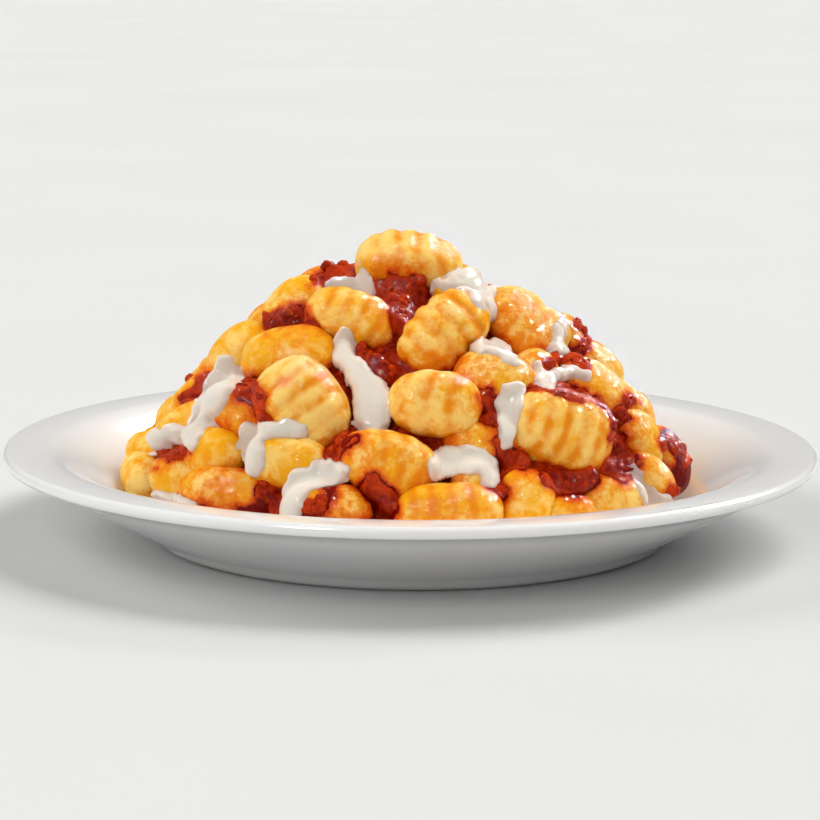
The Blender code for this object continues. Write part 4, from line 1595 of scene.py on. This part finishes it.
class SCENE_OT_gnocchi_stage(bpy.types.Operator):
    """Add the camera, the lights and the pale floor"""

    bl_idname = "scene.gnocchi_stage"
    bl_label = "Add Stage"
    bl_options = {"REGISTER", "UNDO"}

    def execute(self, context):
        settings = context.scene.gnocchi_stage
        add_camera(context.scene, settings)
        for row in LIGHTS:
            add_light(*row)
        add_world(context.scene)
        add_floor(settings)
        return {"FINISHED"}


def facing(place, target, roll=0.0):
    """Matrix of something at a place whose -Z looks at a target."""
    gap = Vector(target) - Vector(place)
    turn = gap.to_track_quat("-Z", "Y").to_matrix().to_4x4()
    return Matrix.Translation(place) @ turn @ Matrix.Rotation(roll, 4, "Z")


def add_camera(scene, settings):
    """A camera in front of the plate, at a distance and a height above the table."""
    data = bpy.data.cameras.new("camera")
    data.lens = settings.lens
    data.sensor_width = SENSOR_WIDTH
    data.clip_start = 0.05
    camera = bpy.data.objects.new("camera", data)
    scene.collection.objects.link(camera)
    flat = settings.distance * math.cos(settings.elevation)
    place = (0.0, -flat, settings.distance * math.sin(settings.elevation))
    camera.matrix_world = facing(place, VIEW_AIM, VIEW_ROLL)
    scene.camera = camera
    scene.view_settings.view_transform = "Standard"


def add_light(name, place, width, strength, lights, shows):
    """A far light, which either lights surfaces or only shows in wet ones."""
    data = bpy.data.lights.new(name, "SUN")
    data.angle = math.radians(width)
    data.energy = strength
    data.color = LIGHT_COLOUR
    light = bpy.data.objects.new(name, data)
    bpy.context.scene.collection.objects.link(light)
    light.matrix_world = facing(place, LIGHT_AIM)
    light.visible_diffuse = lights
    light.visible_glossy = shows


def add_world(scene):
    """Even white light from all round."""
    world = bpy.data.worlds.new("studio")
    world.use_nodes = True
    background = world.node_tree.nodes["Background"]
    background.inputs["Color"].default_value = (1.0, 1.0, 1.0, 1.0)
    background.inputs["Strength"].default_value = STUDIO_STRENGTH
    scene.world = world


def add_floor(settings):
    """A flat square grid of four quads well beyond the view."""
    line = np.linspace(-FLOOR_EDGE, FLOOR_EDGE, 3)
    x, y = np.meshgrid(line, line)
    points = np.stack([x.ravel(), y.ravel(), np.full(x.size, FLOOR_LEVEL)], -1)
    corner = np.array([0, 1, 3, 4])[:, None]
    quads = corner + np.array([0, 1, 4, 3])
    none = np.zeros((0, 3), dtype=int)
    floor = make_piece("floor", points, quads, none, floor_material(settings), {})


class VIEW3D_PT_gnocchi(bpy.types.Panel):
    """Lists the settings and the operators"""

    bl_idname = "VIEW3D_PT_gnocchi"
    bl_label = "Potato Gnocchi"
    bl_space_type = "VIEW_3D"
    bl_region_type = "UI"
    bl_category = "Gnocchi"

    def draw(self, context):
        for group, _, operator in GROUPS:
            box = self.layout.box()
            settings = getattr(context.scene, group)
            for name in settings.__annotations__:
                box.prop(settings, name)
            box.operator(operator.bl_idname)


GROUPS = [
    ("gnocchi_stage", StageSettings, SCENE_OT_gnocchi_stage),
    ("gnocchi_plate", PlateSettings, MESH_OT_gnocchi_plate),
    ("gnocchi_dough", GnocchiSettings, MESH_OT_gnocchi_dough),
    ("gnocchi_sauce", SauceSettings, MESH_OT_gnocchi_tomato),
    ("gnocchi_cream", CreamSettings, MESH_OT_gnocchi_cream),
]


def register():
    """Add the settings to the scene, and the operators and the panel to Blender."""
    for name, settings, operator in GROUPS:
        bpy.utils.register_class(settings)
        bpy.utils.register_class(operator)
        setattr(bpy.types.Scene, name, PointerProperty(type=settings))
    bpy.utils.register_class(VIEW3D_PT_gnocchi)


def unregister():
    """Take away what register added."""
    bpy.utils.unregister_class(VIEW3D_PT_gnocchi)
    for name, settings, operator in reversed(GROUPS):
        delattr(bpy.types.Scene, name)
        bpy.utils.unregister_class(operator)
        bpy.utils.unregister_class(settings)


def main():
    """Build the stage and every piece."""
    register()
    bpy.ops.scene.gnocchi_stage()
    bpy.ops.mesh.gnocchi_plate()
    bpy.ops.mesh.gnocchi_dough()
    bpy.ops.mesh.gnocchi_tomato()
    bpy.ops.mesh.gnocchi_cream()


if __name__ == "__main__":
    main()
